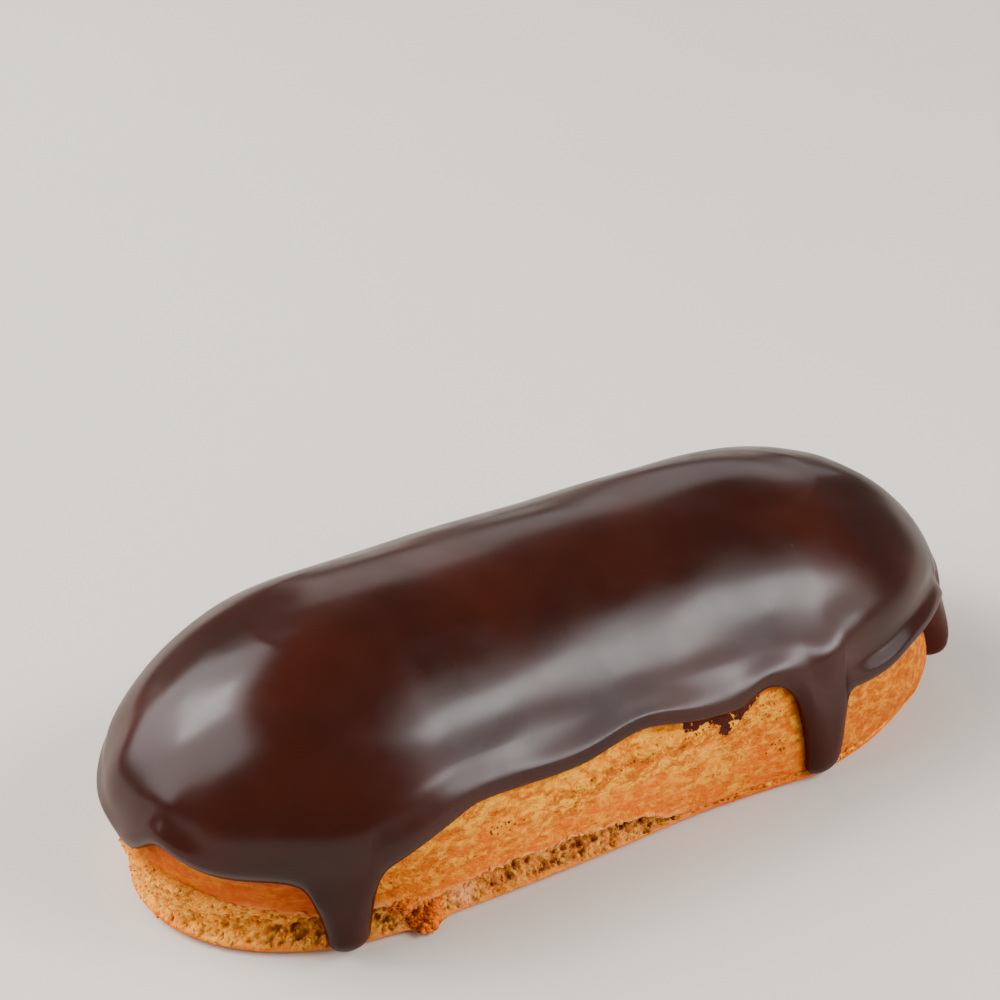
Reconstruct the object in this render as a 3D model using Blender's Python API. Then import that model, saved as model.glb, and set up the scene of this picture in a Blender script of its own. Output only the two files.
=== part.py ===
"""Chocolate eclair: a long choux bun, burst open low along its side, under a thick poured glaze.

Metres, +Z up. The bun lies along X with its taller end at -X and its open side at -Y. The origin is
the middle of the box round the eclair, on the surface that it rests on.

Every point is found from two coordinates. Travel runs round the eclair as seen from above: from the
tip of the taller end along the -Y side to the other tip, and back along the +Y side. Climb runs up
the side, from 0 at the foot to 1 on the crown.
"""

import math
from typing import NamedTuple

import bmesh
import bpy
from mathutils import Vector, noise

MM = 0.001

# Overall size, with the glaze on
LENGTH = 140 * MM
WIDTH = 56.8 * MM
HEIGHT = 39.7 * MM
FOOT_WIDTH = 51.7 * MM
WIDEST_HEIGHT = 14.4 * MM
END_STRETCH = 1.334  # length of a rounded end, seen from above, over that of a half circle
SHOULDER_POWER = 1.78
CROWN_POWER = 1.94
RIDGE_FALL = 0.039  # share by which the height rises at one tip and falls at the other
END_NARROWING = 0.012

# Glaze
GLAZE_THICKNESS = 2.2 * MM
GLAZE_GAP = 0.3 * MM
RIM_ROLL = 0.9 * MM
RIPPLE = 0.22 * MM
RIPPLE_SPACING = 15 * MM
THINNEST_GLAZE = 1.0 * MM
DRIP_NECK = 0.72  # thickness at the top of a drip over that at its tip

# Choux
BASE_EDGE = 1.2 * MM
BASE_CHAMFER = 1.0 * MM
BASE_FILLET = 2.4 * MM
LIP_ROLL = 1.3 * MM
CRUMB_RELIEF = 0.45 * MM
CRUMB_GRAIN = 3.2 * MM

# Mesh
STATION_STEP = 3.9 * MM
CROWN_CLIMB = 0.972
WIDEST_CLIMB = 0.26
BELT_CLIMB = 0.44  # above this the rows of the bun and of the glaze keep the same climbs
ABOVE_BELT = (0.2, 0.4, 0.6, 0.8, 1)
CLIMB_PER_METRE = WIDEST_CLIMB / WIDEST_HEIGHT

END_LENGTH = END_STRETCH * WIDTH / 2
STRAIGHT_HALF = LENGTH / 2 - END_LENGTH
END_TRAVEL = math.pi / 2 * math.sqrt((END_LENGTH**2 + (WIDTH / 2) ** 2) / 2)
HALF_ROUND = 2 * (END_TRAVEL + STRAIGHT_HALF)
ROUND = 2 * HALF_ROUND

# Heights and offsets along the travel, in pairs of millimetres: (travel, value)
GLAZE_EDGE = [
    (0, 13), (3, 13.4), (7, 14.7), (10, 15.4), (14, 14.4), (18, 13.6), (30, 13), (40, 13.2),
    (44, 14.4), (48, 16.2), (52, 17.9), (57, 19.4), (73, 19.1), (84, 20.9), (94, 19),
    (101, 18.4), (106, 19.9), (110, 19), (118, 15), (126, 14), (134, 15.2), (144, 15.1),
    (152, 14.4), (162, 15.2), (176, 16), (190, 15), (204, 17.6), (220, 16.8), (240, 19),
    (258, 17.4), (272, 18.6), (286, 15.8), (304, 15.2), (318, 14.4), (328, 12.9), (334, 12.8),
]  # fmt: skip
LIP_HEIGHT = [
    (0, 10.5), (6, 11), (12, 9.3), (18, 8.4), (27, 7.5), (34, 5.2), (42, 6.4), (47, 5.2),
    (51, 6.2), (60, 5.8), (72, 5.2), (80, 4.2), (88, 3.3), (98, 3.4), (106, 2.6), (118, 2.2),
    (150, 2.4), (172, 4), (200, 5.6), (230, 6.2), (262, 5.4), (296, 6.6), (316, 8.6), (330, 9.6),
]  # fmt: skip
LIP_OUTWARD = [
    (0, -0.5), (12, 0), (24, 0.5), (34, 0.3), (44, 1), (60, 1.5), (90, 1.7), (112, 1.3), (122, 1.4),
    (132, 2.3), (146, 3.1), (160, 2.4), (180, 1.4), (230, 1.4), (290, 1), (318, 0.2),
]  # fmt: skip
CRUMB_OUTWARD = [
    (0, 1.3), (10, 1.5), (18, 1.1), (24, 0.3), (32, -0.7), (45, -0.9), (58, -1.2), (76, -1.1),
    (86, -0.6), (94, 0.2), (102, 0.9), (112, 1.2), (122, 1.5), (146, 2.1), (164, 1.6), (182, 0.2),
    (206, -0.8), (250, -1.1), (288, -0.9), (308, 0), (324, 1),
]  # fmt: skip
FOOT_OUTWARD = [
    (0, 2.3), (12, 2.7), (22, 2.8), (34, 2.5), (46, 1.7), (54, 1.6), (64, 2), (80, 2.2), (110, 2), (120, 1.9),
    (140, 2.4), (165, 2.2), (190, 1.4), (230, 1), (290, 1), (316, 1.7),
]  # fmt: skip


class Drip(NamedTuple):
    """A run of glaze down the side: its middle, half its width, its lowest point and its thickness.

    The flares are the distances over which the edge climbs from the run, before it and after it.
    """

    travel: float
    half_width: float
    tip_height: float
    thickness: float
    flare_before: float
    flare_after: float


class Crag(NamedTuple):
    """A torn lump of crust on the lip: its place, its spread and how far it stands out."""

    travel: float
    height: float
    spread: float
    outward: float


DRIPS = [
    Drip(38.2 * MM, 3.4 * MM, 1.9 * MM, 4.2 * MM, 1.3 * MM, 0.7 * MM),
    Drip(117.3 * MM, 3.4 * MM, 1.7 * MM, 4.4 * MM, 1.3 * MM, 1.2 * MM),
    Drip(152.4 * MM, 2.2 * MM, 2.8 * MM, 5.3 * MM, 0.9 * MM, 1.2 * MM),
    Drip(212.0 * MM, 3.0 * MM, 5.4 * MM, 4.0 * MM, 1.3 * MM, 1.8 * MM),
    Drip(281.0 * MM, 3.4 * MM, 7.6 * MM, 4.0 * MM, 2.0 * MM, 1.4 * MM),
]
CRAGS = [
    Crag(49.0 * MM, 3.4 * MM, 1.7 * MM, 1.9 * MM),
    Crag(44.6 * MM, 4.9 * MM, 1.5 * MM, 1.0 * MM),
    Crag(241.0 * MM, 4.6 * MM, 2.2 * MM, 1.3 * MM),
]


def smooth(share):
    """Rises evenly from 0 to 1 as share does, with no corner at either end."""
    share = min(1.0, max(0.0, share))
    return share * share * (3 - 2 * share)


def along(knots, travel):
    """Value in metres at this travel, on a smooth closed curve through pairs of millimetres."""
    place = (travel % ROUND) / MM
    count = len(knots)
    after = next((i for i, knot in enumerate(knots) if knot[0] > place), count)
    picked = []
    for i in range(after - 2, after + 2):
        turns, index = divmod(i, count)
        picked.append((knots[index][0] + turns * ROUND / MM, knots[index][1]))
    (x0, y0), (x1, y1), (x2, y2), (x3, y3) = picked
    share = (place - x1) / (x2 - x1)
    leave = (y2 - y0) / (x2 - x0) * (x2 - x1)
    arrive = (y3 - y1) / (x3 - x1) * (x2 - x1)
    square = share * share
    cube = square * share
    value = (
        (2 * cube - 3 * square + 1) * y1
        + (cube - 2 * square + share) * leave
        + (3 * square - 2 * cube) * y2
        + (cube - square) * arrive
    )
    return value * MM


def spine_and_heading(travel):
    """Point of the spine that this travel is measured from, and the plan direction away from it."""
    travel %= ROUND
    shown_side = travel < HALF_ROUND
    reach = travel if shown_side else ROUND - travel
    side = -1 if shown_side else 1
    if reach < END_TRAVEL:
        angle = math.pi / 2 * reach / END_TRAVEL
        return -STRAIGHT_HALF, (-END_STRETCH * math.cos(angle), side * math.sin(angle))
    if reach > HALF_ROUND - END_TRAVEL:
        angle = math.pi / 2 * (HALF_ROUND - reach) / END_TRAVEL
        return STRAIGHT_HALF, (END_STRETCH * math.cos(angle), side * math.sin(angle))
    return reach - END_TRAVEL - STRAIGHT_HALF, (0.0, side)


def section(climb, inset):
    """Half width and height of the side at this climb, this far inside the glaze's surface."""
    widest = WIDTH / 2 - inset
    if climb <= WIDEST_CLIMB:
        foot = FOOT_WIDTH / 2 - inset
        rise = climb / WIDEST_CLIMB
        return foot + (widest - foot) * math.sin(math.pi / 2 * max(rise, 0)), WIDEST_HEIGHT * rise
    angle = math.pi / 2 * (climb - WIDEST_CLIMB) / (1 - WIDEST_CLIMB)
    dome = HEIGHT - inset - WIDEST_HEIGHT
    across = widest * max(0, math.cos(angle)) ** (2 / SHOULDER_POWER)
    return across, WIDEST_HEIGHT + dome * math.sin(angle) ** (2 / CROWN_POWER)


def climb_at(height):
    """Climb at which the side reaches this height."""
    if height <= WIDEST_HEIGHT:
        return CLIMB_PER_METRE * height
    share = min(1, (height - WIDEST_HEIGHT) / (HEIGHT - WIDEST_HEIGHT))
    angle = math.asin(share ** (CROWN_POWER / 2))
    return WIDEST_CLIMB + (1 - WIDEST_CLIMB) * angle / (math.pi / 2)


def surface(travel, climb, inset):
    """Point of the side in space, with the ridge falling and the bun narrowing from end to end."""
    spine, (ahead, sideways) = spine_and_heading(travel)
    across, height = section(climb, inset)
    x = spine + ahead * across
    lean = x / (LENGTH / 2)
    return Vector((x, sideways * across * (1 - END_NARROWING * lean), height * (1 - RIDGE_FALL * lean)))


def grain(travel, height, size, layer):
    """Fixed uneven value from -1 to 1 that changes over this size."""
    point = surface(travel, climb_at(height), 0)
    return noise.noise(Vector((point.x / size, point.y / size, point.z / size + layer)))


def glaze_edge(travel):
    """Height of the glaze's lower edge, drips included."""
    level = along(GLAZE_EDGE, travel)
    for drip in DRIPS:
        across = abs(travel - drip.travel)
        if across < drip.half_width:
            round_tip = drip.half_width - math.sqrt(drip.half_width**2 - across**2)
            level = min(level, drip.tip_height + round_tip)
        else:
            flare = drip.flare_before if travel < drip.travel else drip.flare_after
            shoulder = level - drip.tip_height - drip.half_width
            level -= max(0, shoulder) * math.exp((drip.half_width - across) / flare)
    return level


def crust_outward(travel, height):
    """How far the choux stands out beyond the smooth bun at this place."""
    lip = along(LIP_HEIGHT, travel)
    foot = along(FOOT_OUTWARD, travel)
    crumb = along(CRUMB_OUTWARD, travel) + CRUMB_RELIEF * grain(travel, height, CRUMB_GRAIN, 3)
    shell = along(LIP_OUTWARD, travel)
    if height <= BASE_EDGE:
        outward = foot
    elif height < lip:
        fillet = max(0, 1 - (height - BASE_EDGE) / BASE_FILLET)
        outward = crumb + (foot - crumb) * fillet * fillet
    else:
        under_glaze = along(GLAZE_EDGE, travel) - 1.5 * MM
        outward = shell * (1 - smooth((height - lip) / max(under_glaze - lip, MM)))
    for crag in CRAGS:
        spread = math.hypot(travel - crag.travel, height - crag.height) / crag.spread
        outward += crag.outward * math.exp(-spread * spread)
    return outward


def backing(travel, height):
    """How far the inside of the glaze stands out beyond the smooth bun, to clear what is behind it."""
    sideways = (-1.5 * MM, 0, 1.5 * MM)
    upwards = [step * MM for step in (-3, -2, -1, 0, 1, 2, 3)]
    behind = [crust_outward(travel + dt, max(0, height + dh)) for dt in sideways for dh in upwards]
    return GLAZE_GAP + max(0, *behind)


def glaze_thickness(travel, height):
    """Thickness of the glaze over the smooth bun, rounded across each drip."""
    thickness = GLAZE_THICKNESS + RIPPLE * grain(travel, height, RIPPLE_SPACING, 7)
    level = along(GLAZE_EDGE, travel)
    for drip in DRIPS:
        across = abs(travel - drip.travel) / drip.half_width
        below = smooth((level - height) / (5 * MM) + 0.4) * smooth(2.4 - 1.6 * across)
        swell = DRIP_NECK + (1 - DRIP_NECK) * smooth((level - height) / (level - drip.tip_height))
        dome = drip.thickness * swell * (0.45 + 0.55 * math.sqrt(max(0, 1 - across * across)))
        thickness += (dome - thickness) * below
    return max(thickness, backing(travel, height) + THINNEST_GLAZE)


def stations():
    """Travels of the mesh's columns: even steps, with closer ones across each drip."""
    close = (-1.9, -1.3, -1.06, -0.85, -0.45, 0, 0.45, 0.85, 1.06, 1.3, 1.9)
    drip_travels = [drip.travel + share * drip.half_width for drip in DRIPS for share in close]
    count = round(ROUND / STATION_STEP)
    even = [ROUND * i / count for i in range(count)]
    clear = [t for t in even if all(abs(t - other) > STATION_STEP / 2 for other in drip_travels)]
    return sorted(clear + drip_travels)


def bun_ring(travels, height_of, outward_of):
    """Closed ring of the bun, at a height and an outward step given for each travel."""
    return [
        surface(t, climb_at(height_of(t)), GLAZE_THICKNESS - outward_of(t, height_of(t)))
        for t in travels
    ]


def bun_rings(travels):
    """Rings of the bun from its flat base, past the burst and its lip, to the crown."""
    flat = [Vector((p.x, p.y, 0)) for p in bun_ring(
        travels, lambda t: 0, lambda t, h: along(FOOT_OUTWARD, t) - BASE_CHAMFER
    )]  # fmt: skip
    rings = [flat]
    for height in (0.5 * MM, BASE_EDGE):
        rings.append(bun_ring(travels, lambda t, h=height: h, crust_outward))
    for share in (0.15, 0.4, 0.7, 0.94):
        rings.append(
            bun_ring(
                travels,
                lambda t, s=share: BASE_EDGE + s * (along(LIP_HEIGHT, t) - BASE_EDGE),
                crust_outward,
            )
        )
    for above_lip in (0.1 * MM, LIP_ROLL, 2.5 * LIP_ROLL):
        rings.append(bun_ring(travels, lambda t, a=above_lip: along(LIP_HEIGHT, t) + a, crust_outward))
    lowest = [climb_at(along(LIP_HEIGHT, t) + 4.2 * LIP_ROLL) for t in travels]
    for climbs in rows_to_crown(lowest, (0, 0.33, 0.67, 1)):
        ring = []
        for t, climb in zip(travels, climbs):
            outward = crust_outward(t, section(climb, 0)[1])
            ring.append(surface(t, climb, GLAZE_THICKNESS - outward))
        rings.append(ring)
    return rings


def rows_to_crown(lowest, below_belt):
    """Rows of climbs, from the lowest of each travel by these shares to the belt, then to the crown."""
    rows = [[low + share * (BELT_CLIMB - low) for low in lowest] for share in below_belt]
    rows += [[BELT_CLIMB + share * (CROWN_CLIMB - BELT_CLIMB)] * len(lowest) for share in ABOVE_BELT]
    return rows


def glaze_rings(travels):
    """Rings of the glaze: its inside from the crown down, round the rolled rim, and back up outside."""
    edges = [climb_at(glaze_edge(t)) for t in travels]
    roll = RIM_ROLL * CLIMB_PER_METRE

    def ring(climbs, share):
        """Ring at these climbs, this share of the way from the inside of the glaze to its outside."""
        made = []
        for t, climb in zip(travels, climbs):
            height = section(max(climb, 0), 0)[1]
            inner = backing(t, height)
            outer = glaze_thickness(t, height)
            made.append(surface(t, climb, GLAZE_THICKNESS - inner - share * (outer - inner)))
        return made

    rings = [ring(climbs, 0) for climbs in reversed(rows_to_crown(edges, (0, 0.2, 0.45, 0.72, 1)))]
    rings.append(ring([edge - 0.7 * roll for edge in edges], 0.4))
    rings.append(ring([edge - 0.3 * roll for edge in edges], 0.78))
    outside = rows_to_crown([edge + roll for edge in edges], (0, 0.16, 0.34, 0.54, 0.77, 1))
    rings.append(ring(outside[0], 0.94))
    return rings + [ring(climbs, 1) for climbs in outside[1:]]


def food_material(name, colour, roughness):
    """Opaque material of one colour."""
    material = bpy.data.materials.new(name)
    material.use_nodes = True
    shader = material.node_tree.nodes["Principled BSDF"]
    shader.inputs["Base Color"].default_value = (*colour, 1)
    shader.inputs["Roughness"].default_value = roughness
    shader.inputs["Metallic"].default_value = 0
    return material


def skin(name, rings, material):
    """Object whose surface joins each closed ring to the next and caps the first and the last."""
    shape = bmesh.new()
    loops = [[shape.verts.new(point) for point in ring] for ring in rings]
    for lower, upper in zip(loops, loops[1:]):
        for i in range(len(lower)):
            j = (i + 1) % len(lower)
            shape.faces.new((lower[i], lower[j], upper[j], upper[i]))
    shape.faces.new(loops[0][::-1])
    shape.faces.new(loops[-1])
    bmesh.ops.triangulate(shape, faces=shape.faces[:])
    bmesh.ops.recalc_face_normals(shape, faces=shape.faces[:])
    mesh = bpy.data.meshes.new(name)
    shape.to_mesh(mesh)
    shape.free()
    mesh.shade_smooth()
    mesh.materials.append(material)
    obj = bpy.data.objects.new(name, mesh)
    bpy.context.scene.collection.objects.link(obj)
    return obj


def centre_on_base(objects):
    """Moves the objects together, so that the middle of their box's base is the origin."""
    points = [v.co for obj in objects for v in obj.data.vertices]
    middle = [(min(p[i] for p in points) + max(p[i] for p in points)) / 2 for i in (0, 1)]
    shift = Vector((-middle[0], -middle[1], -min(p.z for p in points)))
    for obj in objects:
        obj.data.transform(obj.matrix_world.Translation(shift))


def clear_scene():
    """Removes every object of the scene."""
    for obj in list(bpy.data.objects):
        bpy.data.objects.remove(obj)


def main():
    """Builds the bun and the glaze over it."""
    clear_scene()
    crust = food_material("choux_crust", (0.62, 0.32, 0.12), 0.75)
    chocolate = food_material("chocolate_glaze", (0.045, 0.014, 0.007), 0.25)
    travels = stations()
    bun = skin("choux_bun", bun_rings(travels), crust)
    glaze = skin("chocolate_glaze", glaze_rings(travels), chocolate)
    centre_on_base([bun, glaze])


main()
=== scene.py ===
"""Looks of the chocolate eclair: glaze, choux crust, crumb and flakes, with floor, lights and camera.

Sizes are millimetres, and meshes are made in metres at the very end. Every point of the eclair is
found from two coordinates. Travel runs round it as seen from above: from the tip of the taller end
along the open side to the other tip, and back along the far side. Rise runs up the side: it is the
height up to the widest place, and goes on over the shoulder to the crown.
"""

import logging
import math
from dataclasses import dataclass, field
from enum import Enum, IntEnum

import bmesh
import bpy
import numpy as np
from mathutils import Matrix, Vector, geometry, noise


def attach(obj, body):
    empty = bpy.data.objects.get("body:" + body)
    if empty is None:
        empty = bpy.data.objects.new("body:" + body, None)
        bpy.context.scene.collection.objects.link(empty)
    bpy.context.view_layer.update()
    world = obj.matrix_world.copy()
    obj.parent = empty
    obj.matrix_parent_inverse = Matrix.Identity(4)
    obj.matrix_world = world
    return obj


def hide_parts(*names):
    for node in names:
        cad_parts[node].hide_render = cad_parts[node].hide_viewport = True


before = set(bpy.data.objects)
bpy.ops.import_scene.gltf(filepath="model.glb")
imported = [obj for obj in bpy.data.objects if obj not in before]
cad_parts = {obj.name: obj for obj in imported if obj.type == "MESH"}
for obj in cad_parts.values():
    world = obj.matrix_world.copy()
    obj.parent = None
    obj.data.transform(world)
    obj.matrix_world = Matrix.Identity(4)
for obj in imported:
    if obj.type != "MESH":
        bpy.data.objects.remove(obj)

LOG = logging.getLogger("chocolate_eclair")
MM = 0.001
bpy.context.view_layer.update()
ROOT_BODY = "root"
BUN_NODE = "choux_bun"
GLAZE_NODE = "chocolate_glaze"

Pairs = tuple[tuple[float, float], ...]
Colour = tuple[float, float, float]


class Scatter(Enum):
    """What is scattered over the bun."""

    GRAINS = "choux_crumb_grains"
    FLAKES = "choux_lip_flakes"
    LUMPS = "choux_torn_lumps"


class Pattern(IntEnum):
    """Which of many fixed uneven patterns a feature takes."""

    CRUMB_LUMPS = 3
    LIP = 11
    FINE_LIP = 17
    BORDERS = 23
    LEDGES = 40


def smooth(share: np.ndarray) -> np.ndarray:
    """Rises evenly from 0 to 1 as share does, with no corner at either end."""
    share = np.clip(share, 0, 1)
    return share * share * (3 - 2 * share)


def bell(distance: np.ndarray, spread: float) -> np.ndarray:
    """Rounded bump of height 1 that falls away over this spread."""
    return np.exp(-((distance / spread) ** 2))


def ring_blur(values: np.ndarray, spread: float) -> np.ndarray:
    """Softens values that run round a closed ring.

    Args:
        values: One value or one row of values for each place of the ring.
        spread: Width of the softening, in places.

    Returns:
        The softened values, in the same shape.
    """
    waves = np.fft.rfftfreq(len(values))
    keep = np.exp(-2 * (math.pi * waves * spread) ** 2)
    shape = (-1,) + (1,) * (values.ndim - 1)
    return np.fft.irfft(np.fft.rfft(values, axis=0) * keep.reshape(shape), n=len(values), axis=0)


def grain(points: np.ndarray, size: float, layer: float) -> np.ndarray:
    """Fixed uneven values at points in space.

    Args:
        points: The points, with the coordinates on the last axis.
        size: Distance over which the values change.
        layer: Which of many patterns to take.

    Returns:
        A value from -1 to 1 for each point.
    """
    flat = points.reshape(-1, 3) / size
    values = [noise.noise(Vector((x, y, z + layer))) for x, y, z in flat.tolist()]
    return np.array(values).reshape(points.shape[:-1])


def share_steps(count: int) -> np.ndarray:
    """Even shares after 0, up to 1."""
    return np.arange(1, count + 1) / count


def shade(red: int, green: int, blue: int) -> Colour:
    """Linear colour of a screen colour whose channels run from 0 to 255."""
    channels = [c / 255 for c in (red, green, blue)]
    return tuple(c / 12.92 if c <= 0.04045 else ((c + 0.055) / 1.055) ** 2.4 for c in channels)


@dataclass(frozen=True)
class EclairForm:
    """Smooth form of the eclair, with the glaze on, and the places on it."""

    length: float = 140
    width: float = 56.8
    height: float = 39.7
    foot_width: float = 51.7
    widest_height: float = 14.4
    end_stretch: float = 1.334
    shoulder_power: float = 1.78
    crown_power: float = 1.94
    ridge_fall: float = 0.039
    end_narrowing: float = 0.012
    glaze_thickness: float = 2.2
    widest_climb: float = 0.26
    middle: tuple[float, float] = (0.418, -0.245)

    @property
    def straight_half(self) -> float:
        """Half the length of the straight stretch between the rounded ends."""
        return self.length / 2 - self.end_stretch * self.width / 2

    @property
    def end_travel(self) -> float:
        """Travel round a quarter of an end, from a tip to the straight stretch."""
        across = self.width / 2
        return math.pi / 2 * math.sqrt(((self.end_stretch * across) ** 2 + across**2) / 2)

    @property
    def round(self) -> float:
        """Travel all the way round."""
        return 4 * (self.end_travel + self.straight_half)

    @property
    def crown_rise(self) -> float:
        """Rise at the very top."""
        return self.widest_height / self.widest_climb

    def rise_at(self, height: np.ndarray) -> np.ndarray:
        """Rise at which the side reaches a height.

        Args:
            height: Height above the base, where the eclair is highest along its length.

        Returns:
            The rise.
        """
        dome = np.clip((height - self.widest_height) / (self.height - self.widest_height), 0, 1)
        angle = np.arcsin(dome ** (self.crown_power / 2))
        climb = self.widest_climb + (1 - self.widest_climb) * angle / (math.pi / 2)
        over = climb * self.crown_rise
        return np.where(height <= self.widest_height, height, over)

    def section(self, rise: np.ndarray, inset: np.ndarray) -> tuple[np.ndarray, np.ndarray]:
        """Half width and height of the side.

        Args:
            rise: Where up the side, in millimetres.
            inset: How far inside the glaze's surface.

        Returns:
            The distance from the spine and the height.
        """
        widest = self.width / 2 - inset
        foot = self.foot_width / 2 - inset
        low = np.clip(rise / self.widest_height, 0, 1)
        below = foot + (widest - foot) * np.sin(math.pi / 2 * low)
        climb = rise / self.crown_rise
        angle = math.pi / 2 * np.clip((climb - self.widest_climb) / (1 - self.widest_climb), 0, 1)
        dome = self.height - inset - self.widest_height
        above = widest * np.clip(np.cos(angle), 0, 1) ** (2 / self.shoulder_power)
        across = np.where(rise <= self.widest_height, below, above)
        top = self.widest_height + dome * np.sin(angle) ** (2 / self.crown_power)
        return across, np.where(rise <= self.widest_height, rise, top)

    def dome(self, ring: np.ndarray, spacing: float, outward: float) -> tuple[np.ndarray, list[list[int]]]:
        """Evenly spaced points over the crown, joined to the ring that bounds them.

        Args:
            ring: Points of the ring, in the frame's millimetres.
            spacing: Distance between the points.
            outward: Distance that the crown stands out beyond the smooth bun under the glaze.

        Returns:
            The new points, and triangles whose numbers count the ring's points first.
        """
        edge = ring[:, :2]
        low, high = edge.min(axis=0), edge.max(axis=0)
        rows = int((high[1] - low[1]) / (spacing * math.sqrt(0.75)))
        lines = []
        for row in range(1, rows):
            x = np.arange(low[0] + spacing * (0.5 if row % 2 else 1), high[0], spacing)
            lines.append(np.column_stack([x, np.full_like(x, low[1] + row * spacing * math.sqrt(0.75))]))
        inside = np.vstack(lines)
        shift = np.array(self.middle)
        widest = self.width / 2 - self.glaze_thickness + outward
        ahead, across = self._dome_place(inside - shift, widest)
        border = self._dome_place(edge - shift, widest)[1].max()
        keep = across < border - 0.5 * spacing / widest
        inside, ahead, across = inside[keep], ahead[keep], across[keep]
        angle = np.arccos(np.clip(across, 0, 1) ** (self.shoulder_power / 2))
        top = self.height - self.glaze_thickness + outward - self.widest_height
        z = self.widest_height + top * np.sin(angle) ** (2 / self.crown_power)
        z = z * (1 - self.ridge_fall * ahead)
        flat = [Vector(p) for p in np.vstack([edge, inside]).tolist()]
        made = geometry.delaunay_2d_cdt(flat, [], [list(range(len(edge)))], 1, 1e-6)
        source = [found[0] for found in made[3]]
        faces = [[source[k] for k in face] for face in made[2]]
        return np.column_stack([inside, z]), faces

    def _dome_place(self, plan: np.ndarray, widest: float) -> tuple[np.ndarray, np.ndarray]:
        """Where places seen from above lie on the crown.

        Args:
            plan: The places, measured from the eclair's middle.
            widest: Half width of the eclair at its widest.

        Returns:
            The share of the half length, and the share of the way out from the spine.
        """
        lean = plan[:, 0] / (self.length / 2)
        past = np.clip(np.abs(plan[:, 0]) - self.straight_half, 0, None) / self.end_stretch
        side = plan[:, 1] / (1 - self.end_narrowing * lean)
        return lean, np.hypot(past, side) / widest

    def points(self, travel: np.ndarray, rise: np.ndarray, outward: np.ndarray) -> np.ndarray:
        """Points in space, in the frame's millimetres.

        Args:
            travel: Travel round the eclair.
            rise: Rise up the side.
            outward: Distance that the point stands out beyond the smooth bun under the glaze.

        Returns:
            The points, with the coordinates on the last axis.
        """
        travel = np.mod(travel, self.round)
        half = self.round / 2
        side = np.where(travel < half, -1.0, 1.0)
        reach = np.where(travel < half, travel, self.round - travel)
        start = np.clip(reach / self.end_travel, 0, 1) * math.pi / 2
        end = np.clip((half - reach) / self.end_travel, 0, 1) * math.pi / 2
        ahead = self.end_stretch * (np.cos(end) - np.cos(start))
        sideways = side * np.minimum(np.sin(start), np.sin(end))
        spine = np.clip(reach - self.end_travel, 0, 2 * self.straight_half) - self.straight_half
        across, height = self.section(rise, self.glaze_thickness - outward)
        x = spine + ahead * across
        lean = x / (self.length / 2)
        y = sideways * across * (1 - self.end_narrowing * lean)
        z = height * (1 - self.ridge_fall * lean)
        return np.stack([x + self.middle[0], y + self.middle[1], z], axis=-1)


FORM = EclairForm()


@dataclass(frozen=True)
class Profile:
    """Smooth closed curve of a size round the eclair, through pairs of travel and value."""

    pairs: Pairs

    def at(self, travel: np.ndarray) -> np.ndarray:
        """Value of the curve.

        Args:
            travel: Travel round the eclair.

        Returns:
            The value at each travel.
        """
        places = np.array([p[0] for p in self.pairs], float)
        values = np.array([p[1] for p in self.pairs], float)
        places = np.concatenate([places[-2:] - FORM.round, places, places[:3] + FORM.round])
        values = np.concatenate([values[-2:], values, values[:3]])
        place = np.mod(travel, FORM.round)
        i = np.searchsorted(places, place, side="right")
        x0, x1, x2, x3 = (places[i + k] for k in (-2, -1, 0, 1))
        y0, y1, y2, y3 = (values[i + k] for k in (-2, -1, 0, 1))
        share = (place - x1) / (x2 - x1)
        leave = (y2 - y0) / (x2 - x0) * (x2 - x1)
        arrive = (y3 - y1) / (x3 - x1) * (x2 - x1)
        square = share * share
        cube = square * share
        return (
            (2 * cube - 3 * square + 1) * y1
            + (cube - 2 * square + share) * leave
            + (3 * square - 2 * cube) * y2
            + (cube - square) * arrive
        )


# Height of the glaze's lower edge, without its drips.
GLAZE_EDGE = Profile((
    (0, 11.3), (3, 11.8), (6, 13.4), (8.5, 15), (11, 15.6), (14, 14.7), (18, 13.5), (22, 13.1),
    (30, 13.2), (40, 13.2), (44, 14.4), (48, 16.2), (52, 17.9), (57, 19.4), (73, 19.1), (84, 20.9),
    (94, 19), (101, 18.4), (106, 19.9), (110, 19), (118, 15), (126, 14), (134, 15.2), (144, 15.1),
    (152, 14.4), (162, 15.2), (176, 16), (190, 15), (204, 17.6), (220, 16.8), (240, 19),
    (258, 17.4), (272, 18.6), (286, 15.8), (304, 15.2), (318, 14.4), (328, 12.8), (334, 12),
))  # fmt: skip
# Height of the crust's torn lip.
LIP_HEIGHT = Profile((
    (0, 9.5), (6, 10), (12, 9), (18, 8.1), (27, 6.9), (34, 5.4), (42, 6.4), (47, 5.6),
    (52, 6.3), (60, 7), (68, 6.8), (75, 6.3), (82, 5.4), (86.5, 4.1), (89.5, 2.4), (94, 1.7), (106, 1.7),
    (118, 1.7), (150, 1.9), (172, 3.6), (200, 5.6), (230, 6.2), (262, 5.4), (296, 6.6), (316, 8.6), (330, 9),
))  # fmt: skip
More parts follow.
